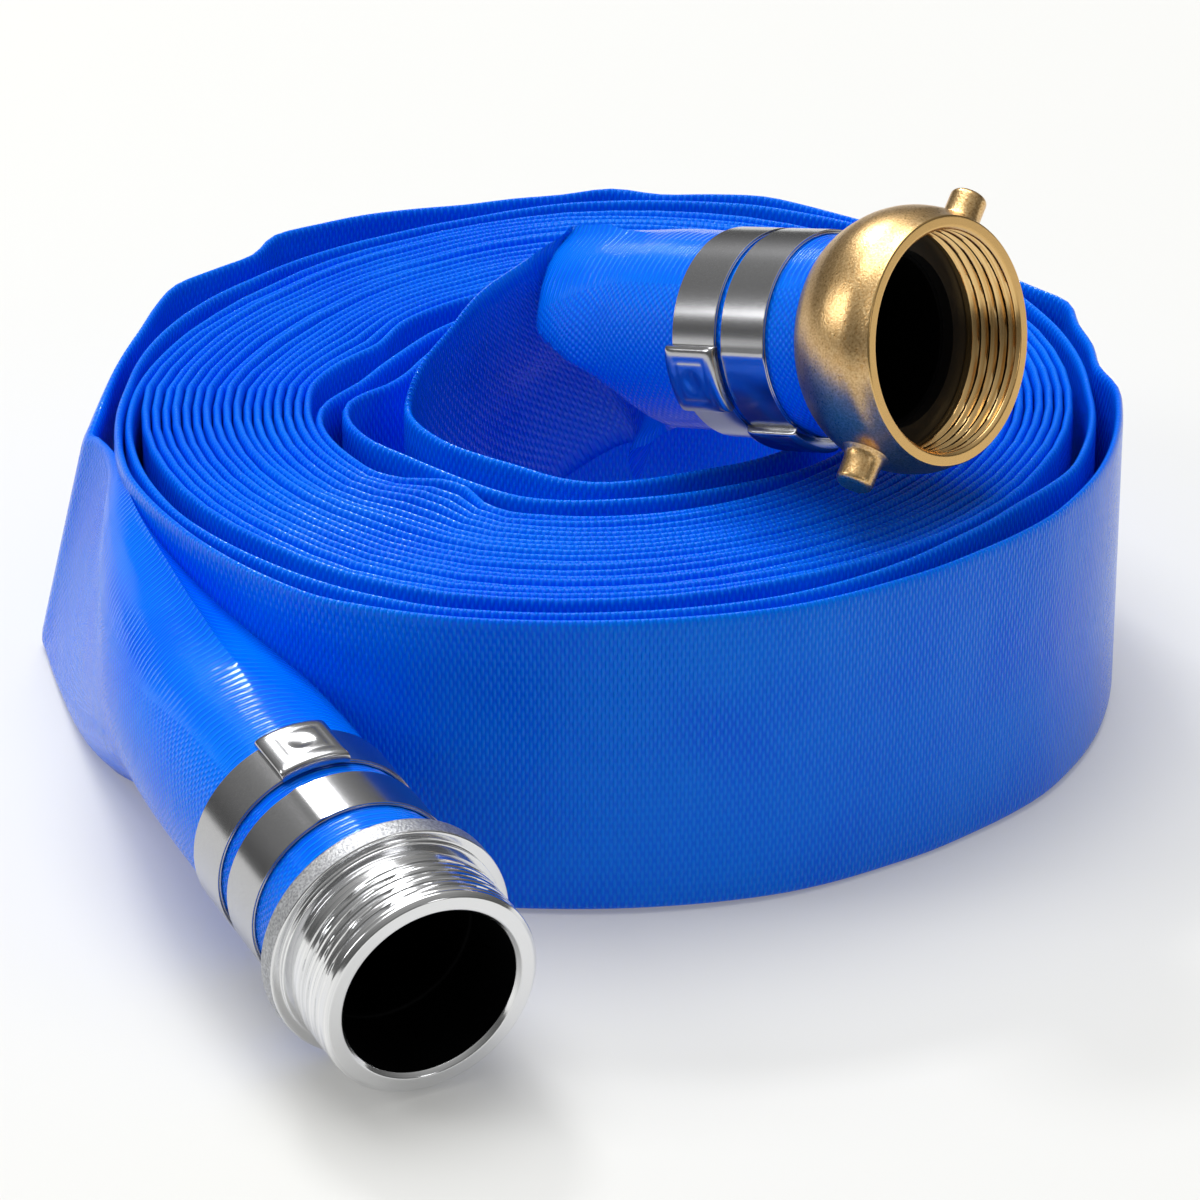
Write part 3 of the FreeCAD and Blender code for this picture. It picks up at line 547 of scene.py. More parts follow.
def line_rows():
    """Every station from the threaded coupling to the swivel: place, opening and direction of the upper
    fold."""
    upright = (0.0, 0.0, 1.0)
    rows = []
    for behind in ROUND_STATIONS:
        rows.append((male.mouth - male.axis * (MALE_HOSE_START + behind) - ROLL_CENTRE, 1.0,
                     male.directions[0]))
    rows += between_folds(OUTER_FOLDS)[::-1]
    for across, forward in roll_plan:
        rows.append((np.array([across, forward, FLAT_WIDTH / 2]), 0.0, upright))
    rows += between_folds(INNER_FOLDS)
    for behind in ROUND_STATIONS[::-1]:
        rows.append((swivel.mouth - swivel.axis * (SWIVEL_HOSE_START + behind) - ROLL_CENTRE, 1.0,
                     swivel.directions[0]))
    return rows


rows = line_rows()
line_places = np.array([row[0] for row in rows]) + ROLL_CENTRE
line_opening = np.array([row[1] for row in rows])
line_upward = np.array([row[2] for row in rows])
line_length = np.linalg.norm(np.diff(line_places, axis=0), axis=1).sum()
print(f"{len(rows)} stations, {line_length / 1000:.2f} m of hose")


# %% [markdown]
# ## A smooth hose from rough stations
#
# Straight runs between the stations would show as corners, so each run is a cubic that leaves and arrives
# in the mean direction of its neighbours.  A bevelled curve would be smooth too, but it carries one outline
# all the way and can't open it, so the rings are worked out one by one.  They lie close together only where
# they show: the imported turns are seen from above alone.

# %% Rings along the line
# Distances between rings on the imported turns, on turns whose wall shows, and on the two free ends.
PACKED_SPACING = 16.0
SEEN_SPACING = 6.0
FREE_SPACING = 2.5
# Runs in the two outer turns, and in the innermost packed turn.
OUTER_SEEN = 120
INNER_SEEN = 60


def smooth_run(values, run, share):
    """Cubic through the values: at share f of a run, with the mean slopes of the neighbouring runs at both
    ends."""
    padded = np.concatenate([2 * values[:1] - values[1:2], values, 2 * values[-1:] - values[-2:-1]])
    lengths = np.linalg.norm(np.diff(line_places, axis=0), axis=1)
    lengths = np.concatenate([lengths[:1], lengths, lengths[-1:]])
    slopes = np.diff(padded, axis=0) / lengths.reshape((-1,) + (1,) * (values.ndim - 1))
    weight = (lengths[1:] / (lengths[:-1] + lengths[1:])).reshape((-1,) + (1,) * (values.ndim - 1))
    mean = slopes[:-1] * weight + slopes[1:] * (1 - weight)
    f = share.reshape((-1,) + (1,) * (values.ndim - 1))
    span = lengths[run + 1].reshape(f.shape)
    a, b = values[run], values[run + 1]
    return ((2 * f ** 3 - 3 * f ** 2 + 1) * a + (f ** 3 - 2 * f ** 2 + f) * span * mean[run]
            + (3 * f ** 2 - 2 * f ** 3) * b + (f ** 3 - f ** 2) * span * mean[run + 1])


def ring_steps():
    """For each run, how many rings it gets: by its length and by how closely that part of the hose is
    seen."""
    lengths = np.linalg.norm(np.diff(line_places, axis=0), axis=1)
    spacing = np.full(len(lengths), PACKED_SPACING)
    outer_end = len(ROUND_STATIONS) + len(OUTER_FOLDS)
    inner_end = len(lengths) - len(ROUND_STATIONS) - len(INNER_FOLDS)
    spacing[:outer_end + OUTER_SEEN] = SEEN_SPACING
    spacing[inner_end - len(INNER_TURNS) - INNER_SEEN:] = SEEN_SPACING
    spacing[:outer_end] = FREE_SPACING
    spacing[inner_end:] = FREE_SPACING
    return np.maximum(1, np.ceil(lengths / spacing)).astype(int)


steps = ring_steps()
runs = np.repeat(np.arange(len(steps)), steps)
starts = np.concatenate([[0], np.cumsum(steps)[:-1]])
shares = (np.arange(len(runs)) - starts[runs]) / steps[runs]
runs = np.append(runs, len(steps) - 1)
shares = np.append(shares, 1.0)
ring_centre = smooth_run(line_places, runs, shares)
ring_opening = np.clip(smooth_run(line_opening, runs, shares), 0, 1)
ring_upward = smooth_run(line_upward, runs, shares)
print(f"{len(ring_centre)} rings")


# %% [markdown]
# ### Turns of unequal height
#
# The turns of a real roll don't stand equally high, and each rises and falls slowly along its length.  A
# noise could do that, but it would have to be smooth along the hose and not across it, so three long waves
# along the hose are added up.  Their lengths don't fit into a turn, so that two neighbours differ.

# %% Lift of the turns
TURN_LIFT = 1.4
LIFT_WAVES = (521.0, 287.0, 151.0)
# Lengths at the outer and the inner end that aren't lifted, and the length over which the lift begins.
OUTER_LEVEL = 260
INNER_LEVEL = 900
LIFT_START = 100


def unevenness(distance, on_roll):
    """How far each ring is lifted: half of TURN_LIFT more or less a fifth of the sum of the waves, but
    never below 0."""
    waves = sum(np.sin(2 * np.pi * distance / length) for length in LIFT_WAVES)
    return TURN_LIFT * on_roll * np.clip(0.5 + waves / 5, 0, 1)


ring_along = np.concatenate([[0], np.cumsum(np.linalg.norm(np.diff(ring_centre, axis=0), axis=1))])
from_ends = np.minimum(ring_along - OUTER_LEVEL, ring_along[-1] - INNER_LEVEL - ring_along)
lift = unevenness(ring_along, np.clip(from_ends / LIFT_START, 0, 1))
ring_centre[:, 2] += lift
print(f"turns lifted by {lift.min():.2f} to {lift.max():.2f} mm")


# %% [markdown]
# ### The outline of a ring
#
# The outline of one ring is four cubic curves: two folds and two walls.  A flat hose has straight walls and
# tight folds, and a round one has four quarter circles.  In between, the folds grow and the walls bulge.
# Sculpting could give that, but not with a girth that stays the same.
#
# A hose that has lain flat keeps its folds as creases where it opens, so each fold gets a small sharp crest
# there.  Under the swivel's straps the lower wall has been pushed in, which makes the deep shadow in front
# of the hollow.

# %% The outline of a ring
FOLD_POINTS = 12
WALL_POINTS = 12
# A pressed fold is this much sharper than a half circle.
FOLD_SHARPNESS = 1.3
CREASE = 3.0
CREASE_WIDTH = 2.0


def ring_outline(opening):
    """Out and up distances of the points of each ring, from the control points of four cubic curves.

    A fold's handles are 4/3 tan(quarter of its turn) long, as for an arc, and longer by FOLD_SHARPNESS when
    flat.  A wall's are two thirds of its half length when flat, so that it stays straight.  Where the hose
    opens, the crease stands CREASE exp(-out / CREASE_WIDTH) high, so the points of a fold are closest in
    its middle."""
    half = half_thickness(opening)[:, None]
    reach = half_width(opening)[:, None]
    bend = np.radians(45) * opening[:, None] ** 2
    rise = half * (1 + FOLD_SHARPNESS * (1 - opening[:, None]))
    corner_up = reach - rise * (1 - np.sin(bend))
    corner_out = half * np.cos(bend)
    fold_pull = rise * 4 / 3 * np.tan((np.pi / 2 - bend) / 2)
    wall_pull = corner_up * (0.667 + 0.114 * opening[:, None])
    out_parts, up_parts = [], []
    quarters = [(1, 1, -1, 1, -fold_pull, FOLD_POINTS), (-1, 1, -1, -1, wall_pull, WALL_POINTS),
                (-1, -1, 1, -1, -fold_pull, FOLD_POINTS), (1, -1, 1, 1, wall_pull, WALL_POINTS)]
    for out_a, up_a, out_b, up_b, pull, count in quarters:
        f = (np.arange(count) / count)[None, :]
        if count == FOLD_POINTS:
            f = 0.5 + 0.5 * np.sign(2 * f - 1) * np.abs(2 * f - 1) ** 1.4
        out = [out_a * corner_out, out_a * (corner_out + pull * np.sin(bend)),
               out_b * (corner_out + pull * np.sin(bend)), out_b * corner_out]
        up = [up_a * corner_up, up_a * (corner_up - pull * np.cos(bend)),
              up_b * (corner_up - pull * np.cos(bend)), up_b * corner_up]
        weights = [(1 - f) ** 3, 3 * f * (1 - f) ** 2, 3 * f ** 2 * (1 - f), f ** 3]
        out_parts.append(sum(w * p for w, p in zip(weights, out)))
        up_parts.append(sum(w * p for w, p in zip(weights, up)))
    out, up = np.hstack(out_parts), np.hstack(up_parts)
    crease = CREASE * np.clip(8 * (1 - opening), 0, 1) * np.clip(5 * opening, 0, 1)
    return out, up + np.sign(up) * crease[:, None] * np.exp(-np.abs(out) / CREASE_WIDTH)


# %% The dent under the swivel's straps
# Distances before the swivel's cut end, and the lengths over which the dent grows and fades.
DENT_START = 62.0
DENT_END = 175.0
DENT_GROWTH = 30.0
DENT_FADE = 40.0
# The height of the dent's edge above the middle of the hose, at some of these distances, and the edge's
# width.
DENT_LINE = np.array([(62.0, -16.0), (80.0, -2.0), (98.0, 10.0), (112.0, 13.0), (175.0, 13.0)])
DENT_EDGE = 17.0
DENT_PUSH = 1.6


def smooth_step(value):
    """0 below 0, 1 above 1 and 3 v^2 - 2 v^3 between."""
    value = np.clip(value, 0, 1)
    return value * value * (3 - 2 * value)


def dented(out, up, before_end):
    """The wall that faces the hollow's front, pushed in under a line that falls towards the swivel's
    clamps.

    A point at out goes to out (1 - DENT_PUSH dent), past the middle of the hose, and dent is the product of
    three smooth steps: it grows after DENT_START, fades before DENT_END and grows again below the line."""
    before = before_end[:, None]
    line = np.interp(before, DENT_LINE[:, 0], DENT_LINE[:, 1])
    dent = smooth_step((before - DENT_START) / DENT_GROWTH) * smooth_step((DENT_END - before) / DENT_FADE)
    dent = dent * smooth_step((line - up) / DENT_EDGE) * (out < 0)
    return out * (1 - DENT_PUSH * dent)


# %% Rings in their places
def unit(vectors):
    """Each vector divided by its length."""
    return vectors / np.linalg.norm(vectors, axis=-1, keepdims=True)


along_line = unit(np.gradient(ring_centre, axis=0))
upward = unit(ring_upward)
sideways = unit(np.cross(upward, along_line))
out, up = ring_outline(ring_opening)
out = dented(out, up, ring_along[-1] - ring_along)
hose_points = ring_centre[:, None] + sideways[:, None] * out[..., None] + upward[:, None] * up[..., None]
# The crease of a lower fold can't go through the floor.
hose_points[..., 2] = np.maximum(hose_points[..., 2], 0.0)
print("hose grid", hose_points.shape, "lowest point", hose_points[..., 2].min().round(3))


# %% [markdown]
# ### One mesh, with a lining in its ends
#
# The real hose is one piece with an inside, which shows only through the two mouths.  A shell all the way
# in would double the mesh and never be seen, so the outside goes on as an inside for a short way at each
# cut end.  The inside has its own dark finish, given to the faces of its rows.

# %% The hose as one mesh
LINING_LENGTH = 59.0
HOSE_WALL = 1.4


def with_lining(points, along):
    """The grid of the outside with the inside added in front of each cut end, as far in as light may reach.

    An inside ring is its outside ring drawn towards its middle by one wall."""
    front = np.arange(np.searchsorted(along, LINING_LENGTH), -1, -1)
    back = np.arange(len(points) - 1, np.searchsorted(along, along[-1] - LINING_LENGTH), -1)
    inside = ring_centre[:, None] + (points - ring_centre[:, None]) * (1 - HOSE_WALL / HOSE_RADIUS)
    return np.concatenate([inside[front], points, inside[back]]), len(front), len(back)


full_hose, front_rows, back_rows = with_lining(hose_points, ring_along)
full_along = np.concatenate([ring_along[front_rows - 1::-1], ring_along, ring_along[:-back_rows - 1:-1]])
flat_outline = np.stack(ring_outline(np.array([0.0])), axis=-1)[0]
around = np.linalg.norm(np.diff(np.vstack([flat_outline, flat_outline[:1]]), axis=0), axis=1)
around = np.concatenate([[0], np.cumsum(around)])
around = (around - around[FOLD_POINTS // 2]) * GIRTH / around[-1]
hose = surface("hose", full_hose, hose_coat, across=around, along=full_along)
hose.data.materials.append(lining)
face_row = np.arange(len(hose.data.polygons)) // len(flat_outline)
inside = (face_row < front_rows - 1) | (face_row > front_rows + len(ring_along) - 1)
hose.data.polygons.foreach_set("material_index", inside.astype(int))
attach(hose, "hose")
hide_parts("hose_roll", "hose_outer_end", "hose_inner_end")


# %% [markdown]
# ## Couplings
#
# Both couplings were turned on a lathe, so each is a profile carried round its axis.  A corner of the
# profile is softened by a small curve, because a real edge always catches a line of light.
#
# A thread is a ridge that moves by one pitch per turn.  The Screw modifier can wind one, but its ends have
# to run out into the cylinder, and in a formula that is one more factor: so the thread is cut into the
# profile's own wall, to a depth that depends on the station and the share of the turn.

# %% Profiles and threads
def softened(corners, size, count=4):
    """Each corner of a closed outline becomes a curve: a parabola from the side before it to the side after
    it.

    It starts and ends at size from the corner, or at 0.4 of the side where that is less."""
    corners = np.array(corners, float)
    before = np.roll(corners, 1, axis=0) - corners
    after = np.roll(corners, -1, axis=0) - corners
    length_before = np.linalg.norm(before, axis=1, keepdims=True)
    length_after = np.linalg.norm(after, axis=1, keepdims=True)
    sizes = np.broadcast_to(np.array(size, float).reshape(-1, 1), (len(corners), 1))
    start = corners + before / length_before * np.minimum(sizes, 0.4 * length_before)
    end = corners + after / length_after * np.minimum(sizes, 0.4 * length_after)
    f = np.linspace(0, 1, count)[None, :, None]
    curve = start[:, None] * (1 - f) ** 2 + 2 * corners[:, None] * f * (1 - f) + end[:, None] * f ** 2
    return curve.reshape(-1, 2)


def divided(outline, longest):
    """The closed outline with each side longer than longest cut into equal parts."""
    after = np.roll(outline, -1, axis=0)
    counts = np.maximum(1, np.ceil(np.linalg.norm(after - outline, axis=1) / longest)).astype(int)
    side = np.repeat(np.arange(len(outline)), counts)
    first = np.concatenate([[0], np.cumsum(counts)[:-1]])
    share = ((np.arange(len(side)) - first[side]) / counts[side])[:, None]
    return outline[side] * (1 - share) + after[side] * share


def ridge(station, angle, pitch, crest):
    """Height of a thread from 0 to 1: flat crests, and valleys with straight flanks, one pitch apart.

    The phase is (station / pitch - turns) modulo 1."""
    phase = (station / pitch - angle / 360) % 1.0
    distance = np.abs(phase - 0.5) * 2
    return np.clip((1 - distance) / (1 - crest), 0, 1)


def turned_piece(name, coupling, outline, material, columns=128, shape=None):
    """A closed profile carried round a coupling's axis; shape may change the radii, given radius, station,
    angle."""
    angle = np.linspace(0, 360, columns, endpoint=False)[None, :]
    radius = outline[:, :1] + 0 * angle
    station = outline[:, 1:] + 0 * angle
    if shape is not None:
        radius = shape(radius, station, angle)
    return surface(name, coupling.place(radius, angle + 0 * radius, station), material, ring=True)


THREAD_FADE = 0.8
ON_WALL = 0.05


def thread_in(wall, depth, pitch, crest, start, end, turning=1):
    """A shape for turned_piece: the wall of radius wall moves by depth in the valleys of the thread.

    A negative depth cuts into a bolt, and a positive one into a bore.  The thread fades in and out over
    THREAD_FADE at start and end.  Clockwise its ridge goes deeper behind the mouth if turning is 1, and
    nearer if it is -1."""
    def shape(radius, station, angle):
        fade = np.clip((station - start) / THREAD_FADE, 0, 1) * np.clip((end - station) / THREAD_FADE, 0, 1)
        valley = 1 - ridge(station, turning * angle, pitch, crest)
        return np.where(np.abs(radius - wall) < ON_WALL, radius + depth * valley * fade, radius)

    return shape


# %% Threaded coupling
THREAD_RADIUS = thread["dims"]["r_mm"]
BORE_RADIUS = mounts["outlet_bore"]["dims"]["r_mm"]
SHANK_RADIUS = 26.4
WATERWAY = 23.2
RELIEF_RADIUS = 27.4
FLANGE_RADIUS = 33.5
THREAD_PITCH = 25.4 / 11.5
THREAD_DEPTH = 1.1
male_outline = [
    (BORE_RADIUS + 1.2, 0.0), (THREAD_RADIUS - 1.2, 0.0), (THREAD_RADIUS, 1.2), (THREAD_RADIUS, 19.5),
    (RELIEF_RADIUS, 20.7), (RELIEF_RADIUS, 22.4), (THREAD_RADIUS + 1.0, 22.6), (THREAD_RADIUS + 1.0, 24.0),
    (FLANGE_RADIUS, 24.0), (FLANGE_RADIUS, 30.4), (SHANK_RADIUS, 30.4), (SHANK_RADIUS, 88.8),
    (SHANK_RADIUS - 1.2, 90.0), (WATERWAY, 90.0), (WATERWAY, 26.7), (BORE_RADIUS, 26.0), (BORE_RADIUS, 1.2)]
male_soft = [0.3, 0.3, 0.3, 0.5, 0.5, 0.4, 0.3, 0.3, 0.7, 0.8, 0.3, 0.5, 0.5, 0.5, 0.5, 0.5, 0.3]


# Bright, with a silky run of light round the axis: the thread and the face of the mouth.
turned_aluminium = turned("aluminium_turned", ("#D6D7D9", "#F0F0F1"), male.axis, 0.15)
male_thread = thread_in(THREAD_RADIUS, -THREAD_DEPTH, THREAD_PITCH, 0.55, 2.2, 16.6)
male_profile = divided(softened(male_outline, male_soft), 0.3)
threaded = turned_piece("threaded_coupling", male, male_profile, turned_aluminium, shape=male_thread)
print("thread pitch", round(THREAD_PITCH, 3), "mm")


# %% [markdown]
# The rim of the flange was left as it came out of the sand mould, and the waterway is too deep for light to
# reach.  They could be pieces of their own, but the real coupling is one, so those faces get their own
# finish: a face is picked by the radius and the station of its middle.

# %% Faces with a finish of their own
def paint_faces(piece, coupling, choices):
    """Give faces another material where the test of their middle's radius and station holds."""
    mesh = piece.data
    middles = np.zeros(len(mesh.polygons) * 3)
    mesh.polygons.foreach_get("center", middles)
    away = (middles.reshape(-1, 3) / MM - coupling.mouth) @ coupling.directions.T
    radius, station = np.hypot(away[:, 0], away[:, 1]), away[:, 2]
    slots = np.zeros(len(mesh.polygons), int)
    for material, test in choices:
        mesh.materials.append(material)
        slots[test(radius, station)] = len(mesh.materials) - 1
    mesh.polygons.foreach_set("material_index", slots)


paint_faces(threaded, male, [
    (cast_aluminium, lambda r, s: (r > FLANGE_RADIUS - 0.9) & (s > 24.3)),
    (dark_waterway, lambda r, s: (r < SHANK_RADIUS - 0.5) & (s > 1.5))])
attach(threaded, "hose")
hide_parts("male_coupling")


# %% [markdown]
# ### The swivel nut
#
# The nut is a brass casting with a round belly.  Only its mouth and its inside were turned, so those faces
# get the bright turned brass and all others keep the sandy skin.  It is made in the same way as the
# coupling.

# %% Swivel nut
NUT_BORE = mounts["inlet_thread"]["dims"]["r_mm"]
SEAT_RADIUS = NUT_BORE + 0.6
NUT_BACK = 30.16
SHOULDER = 25.16
NUT_PITCH = 3.2
NUT_THREAD_DEPTH = 1.5
nut_outline = [
    (NUT_BORE + 0.9, 0.0), (33.8, 0.0), (34.6, 3.0), (36.0, 6.5), (36.5, 11.0), (36.4, 15.0), (35.4, 20.0),
    (33.2, 25.0), (30.8, 28.6), (29.0, NUT_BACK), (26.48, NUT_BACK), (26.48, SHOULDER),
    (SEAT_RADIUS, SHOULDER), (SEAT_RADIUS, 18.5), (NUT_BORE, 18.5), (NUT_BORE, 0.9)]
nut_soft = [0.3, 0.4, 1.4, 1.6, 2.0, 2.0, 2.2, 2.2, 1.6, 0.9, 0.3, 0.3, 0.3, 0.3, 0.3, 0.3]


# Bright gold with fine rings: the machined rim and the thread.
turned_brass = turned("brass_turned", ("#D9B070", "#EECB90"), swivel.axis, 0.22)
nut_thread = thread_in(NUT_BORE, NUT_THREAD_DEPTH, NUT_PITCH, 0.25, 1.2, 17.2, turning=-1)
nut_profile = divided(softened(nut_outline, nut_soft, 6), 0.3)
nut = turned_piece("swivel_nut_casting", swivel, nut_profile, cast_brass, shape=nut_thread)
paint_faces(nut, swivel, [
    (turned_brass, lambda r, s: (s < 0.35) | ((r < SEAT_RADIUS + 1.2) & (s < 18.6)))])
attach(nut, "nut")
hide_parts("swivel_nut")


# %% [markdown]
# The two lugs are what a spanner grips.  They grow out of the casting with a small fillet and end in a flat
# face with a worn edge.  Cylinders with a bevel would miss the fillet, so each is a profile carried round
# its own axis, which points away from the nut's.

# %% Spanner lugs
LUG_ANGLE = 48.0
LUG_STATION = 13.0
LUG_RADIUS = 5.2
# Distances from the nut's axis: the lug's root in the casting, the casting's skin, the fillet's top and the
# tip.
LUG_ROOT = 33.0
NUT_SKIN = 36.0
FILLET_TOP = 39.0
LUG_TIP = 45.6
LUG_EDGE = 1.7
FILLET = 1.6
FILLET_FADE = 0.9


def lug(name, angle):
    """Radius along the lug: LUG_RADIUS plus FILLET exp(-height above the skin / FILLET_FADE), rounded at
    the tip."""
    height = np.concatenate([np.linspace(LUG_ROOT, FILLET_TOP, 16),
                             np.linspace(FILLET_TOP + 0.5, LUG_TIP - 2.0, 6)])
    body = LUG_RADIUS + FILLET * np.exp(-np.maximum(height - NUT_SKIN, 0) / FILLET_FADE)
    turn = np.linspace(0, np.pi / 2, 8)
    height = np.concatenate([height, LUG_TIP - LUG_EDGE + LUG_EDGE * np.sin(turn), [LUG_TIP]])
    body = np.concatenate([body, LUG_RADIUS - LUG_EDGE + LUG_EDGE * np.cos(turn), [1.0]])
    around_lug = np.radians(np.linspace(0, 360, 40, endpoint=False))
    centre = swivel.place(0.0, 0.0, LUG_STATION)
    away = unit(swivel.place(1.0, angle, LUG_STATION) - centre)
    beside = np.cross(away, swivel.axis)
    spokes = beside * np.cos(around_lug)[:, None] + swivel.axis * np.sin(around_lug)[:, None]
    points = centre + away * height[:, None, None] + spokes[None] * body[:, None, None]
    return surface(name, points, cast_brass)


for number, angle in enumerate((LUG_ANGLE, LUG_ANGLE + 180)):
    piece = lug(f"spanner_lug_{number}", angle)
    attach(piece, "nut")


# %% [markdown]
# ### Gasket and shank
#
# The gasket is a plain ring moulded from rubber, and of the tube behind it only the end of its dark
# waterway shows.  Both could be turned anew, but the engineering model's shapes are right as they are, so
# only their finish is new.

# %% Gasket and shank keep their shapes
def refinish(node_name, material):
    """A node whose shape is right keeps it and gets a better finish."""
    piece = frame["nodes"][node_name]
    piece.data.materials.clear()
    piece.data.materials.append(material)
    print(node_name, "is now", material.name)


refinish("gasket", rubber)
refinish("swivel_shank", dark_waterway)


# %% [markdown]
# ## Straps and buckles
#
# Each clamp is a strip of stainless steel, 15 mm wide and 0.64 mm thick, that goes round the hose twice and
# through a buckle.  A screw tool pulls it tight, cuts it and folds it over, and a punch locks the buckle
# with a dimple.
#
# Two rings would do from afar, but close by the strip's hidden end shows as a step in the outer layer, so
# the strip is really wound.  The buckle is a height over a flat patch, bent round the hose with the strap.

# %% Straps
BAND_WIDTH = 15.3
BAND_WRAP = 0.64
BAND_EDGE = 0.16
BAND_INSIDE = HOSE_RADIUS + 0.03
# Air between the two layers, on each side.
LAYER_AIR = 0.01
# Degrees over which the strip climbs onto its first layer.
CLIMB = 16
# The step over the hidden end: where the outer layer may show it, its height and its half width in degrees.
STEP_FROM = 370
STEP_HEIGHT = 0.35
STEP_SPREAD = 3.0
# Coupling, station of the strap's front edge, angle of the buckle and angle of the step.
CLAMPS = {
    "male_front": (male, MALE_HOSE_START + 14.3, 118.0, -21.0),
    "male_rear": (male, MALE_HOSE_START + 35.3, -5.0, 150.0),
    "swivel_front": (swivel, SWIVEL_HOSE_START + 10.4, -150.0, -84.0),
    "swivel_rear": (swivel, SWIVEL_HOSE_START + 28.0, -98.0, 160.0),
}


def strap(name, coupling, station, buckle, step):
    """A flat strip wound twice: its radius grows by one thickness under the buckle.

    Over the strip's hidden end, at the angle step, the outer layer is STEP_HEIGHT exp(-(distance /
    STEP_SPREAD)^2) higher."""
    angle = np.linspace(0, 720, 361)
    outer_layer = np.clip((angle - 360 + CLIMB / 2) / CLIMB, 0, 1)
    radius = BAND_INSIDE + BAND_WRAP / 2 + BAND_WRAP * outer_layer
    turn_from_step = (angle + buckle - step + 180) % 360 - 180
    radius += np.where(angle > STEP_FROM, STEP_HEIGHT * np.exp(-(turn_from_step / STEP_SPREAD) ** 2), 0)
    half, thick, soft = BAND_WIDTH / 2, BAND_WRAP / 2 - LAYER_AIR, BAND_EDGE
    section = np.array([
        (-half, -thick + soft), (-half + soft, -thick), (half - soft, -thick), (half, -thick + soft),
        (half, thick - soft), (half - soft, thick), (-half + soft, thick), (-half, thick - soft)])
    height = section[None, :, 1]
    points = coupling.place(radius[:, None] + height, (angle + buckle)[:, None] + 0 * height,
                            station + BAND_WIDTH / 2 + section[None, :, 0] + 0 * radius[:, None])
    return surface(name, points, steel_strap)


# %% Buckles
BUCKLE_LENGTH = 19.0
BUCKLE_WIDTH = 17.6
BUCKLE_HEIGHT = 3.1
# The buckle's underside lies this deep in the outer layer of the strap.
BUCKLE_SEAT = 0.05
# Half length, half width and depth of the dimple, then of the groove round the folded loop, and the
# groove's width.
DIMPLE = (3.8, 3.4, 0.6)
GROOVE = (5.6, 5.0, 0.18)
GROOVE_WIDTH = 0.5


def buckle(name, coupling, station, angle):
    """A folded steel loop over the strap: a block that follows the hose, with worn edges and a punched
    dimple.

    Its height is a rounded box, (1 - |x|^10)(1 - |y|^10) to the power 1/5, less a bowl, 1 - distance^2 to
    the power 1.5, and a groove round it, exp(-(distance / GROOVE_WIDTH)^2).  A skirt of faces closes it
    down to the strap."""
    base = BAND_INSIDE + 2 * BAND_WRAP - BUCKLE_SEAT
    f = np.sin(np.linspace(-np.pi / 2, np.pi / 2, 41))
    x, y = np.meshgrid(f, f, indexing="ij")
    box = np.clip(1 - np.abs(x) ** 10, 0, 1) * np.clip(1 - np.abs(y) ** 10, 0, 1)
    rise = BUCKLE_HEIGHT * box ** (1 / 5)
    lengthwise = x * BUCKLE_LENGTH / 2
    crosswise = y * BUCKLE_WIDTH / 2
    from_middle = np.hypot(lengthwise / DIMPLE[0], crosswise / DIMPLE[1])
    rise -= DIMPLE[2] * np.clip(1 - from_middle ** 2, 0, 1) ** 1.5 * (rise > 1)
    from_groove = np.maximum(np.abs(lengthwise) - GROOVE[0], np.abs(crosswise) - GROOVE[1])
    rise -= GROOVE[2] * np.exp(-(from_groove / GROOVE_WIDTH) ** 2) * (rise > 1)
    turn = angle + np.degrees(lengthwise / base)
    place = station + BAND_WIDTH / 2 + crosswise
    top = coupling.place(base + rise, turn, place)
    bottom = coupling.place(base - 0.02 + 0 * rise, turn, place)
    mesh_points = np.concatenate([top.reshape(-1, 3), bottom.reshape(-1, 3)])
    n = len(f)
    row, column = np.meshgrid(np.arange(n - 1), np.arange(n - 1), indexing="ij")
    a = (row * n + column).ravel()
    upper = np.stack([a, a + 1, a + n + 1, a + n], axis=1)
    lower = upper[:, ::-1] + n * n
    edge = np.concatenate([np.arange(n), np.arange(1, n) * n + n - 1, (n - 1) * n + np.arange(n - 2, -1, -1),
                           np.arange(n - 2, 0, -1) * n])
    edge_next = np.roll(edge, -1)
    skirt = np.stack([edge_next, edge, edge + n * n, edge_next + n * n], axis=1)
    faces = np.concatenate([upper, lower, skirt])
    faces = faces[:, winding(mesh_points, faces)]
    return smooth_piece(name, mesh_points, faces.tolist(), steel_strap, sharp=180)


for clamp, (coupling, station, angle, step) in CLAMPS.items():
    band = strap(f"{clamp}_strap", coupling, station, angle, step)
    lock = buckle(f"{clamp}_lock", coupling, station, angle)
    for piece, node_name in ((band, f"{clamp}_band"), (lock, f"{clamp}_buckle")):
        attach(piece, "hose")
        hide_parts(node_name)


# %% [markdown]
# ## Floor, light and camera
#
# The floor is a wide pale sheet of paper, so that its far edge stays out of the picture.  It glows a little:
# painted light that keeps the shadows on it pale and lights the hose a little from below.  A brighter lamp
# would do that too, but it would bleach the blue.  Most light comes from a wide lamp overhead and a little
# behind.  The surround is a studio with a bright ceiling and dark walls, which the steel mirrors as bands.
# Three soft boxes, behind, left and right, give the glints.  The camera stands 1.6 m from the middle of the
# roll and looks down on it by 26 degrees.

# %% Floor
FLOOR_SIZE = 12000
# The paper lies this far below the roll, so that the two never share a plane.
FLOOR_BELOW = 0.3


def pale_floor():
    """Matt paper with a little painted glow, which keeps the shadows on it pale."""
    # Emission Strength 0.2 is painted light: the paper glows though it is no lamp.
    material, _, _ = finish("studio_paper", Base_Color=linear("#CCCCCA"), Roughness=0.9,
                            Specular_IOR_Level=0.0, Emission_Color=linear("#FAFAF8"), Emission_Strength=0.2)
    bpy.ops.mesh.primitive_plane_add(size=FLOOR_SIZE * MM, location=(0, 0, -FLOOR_BELOW * MM))
    floor = bpy.context.object
    floor.name = "floor"
    floor.data.materials.append(material)
    print("floor:", material.name)


pale_floor()


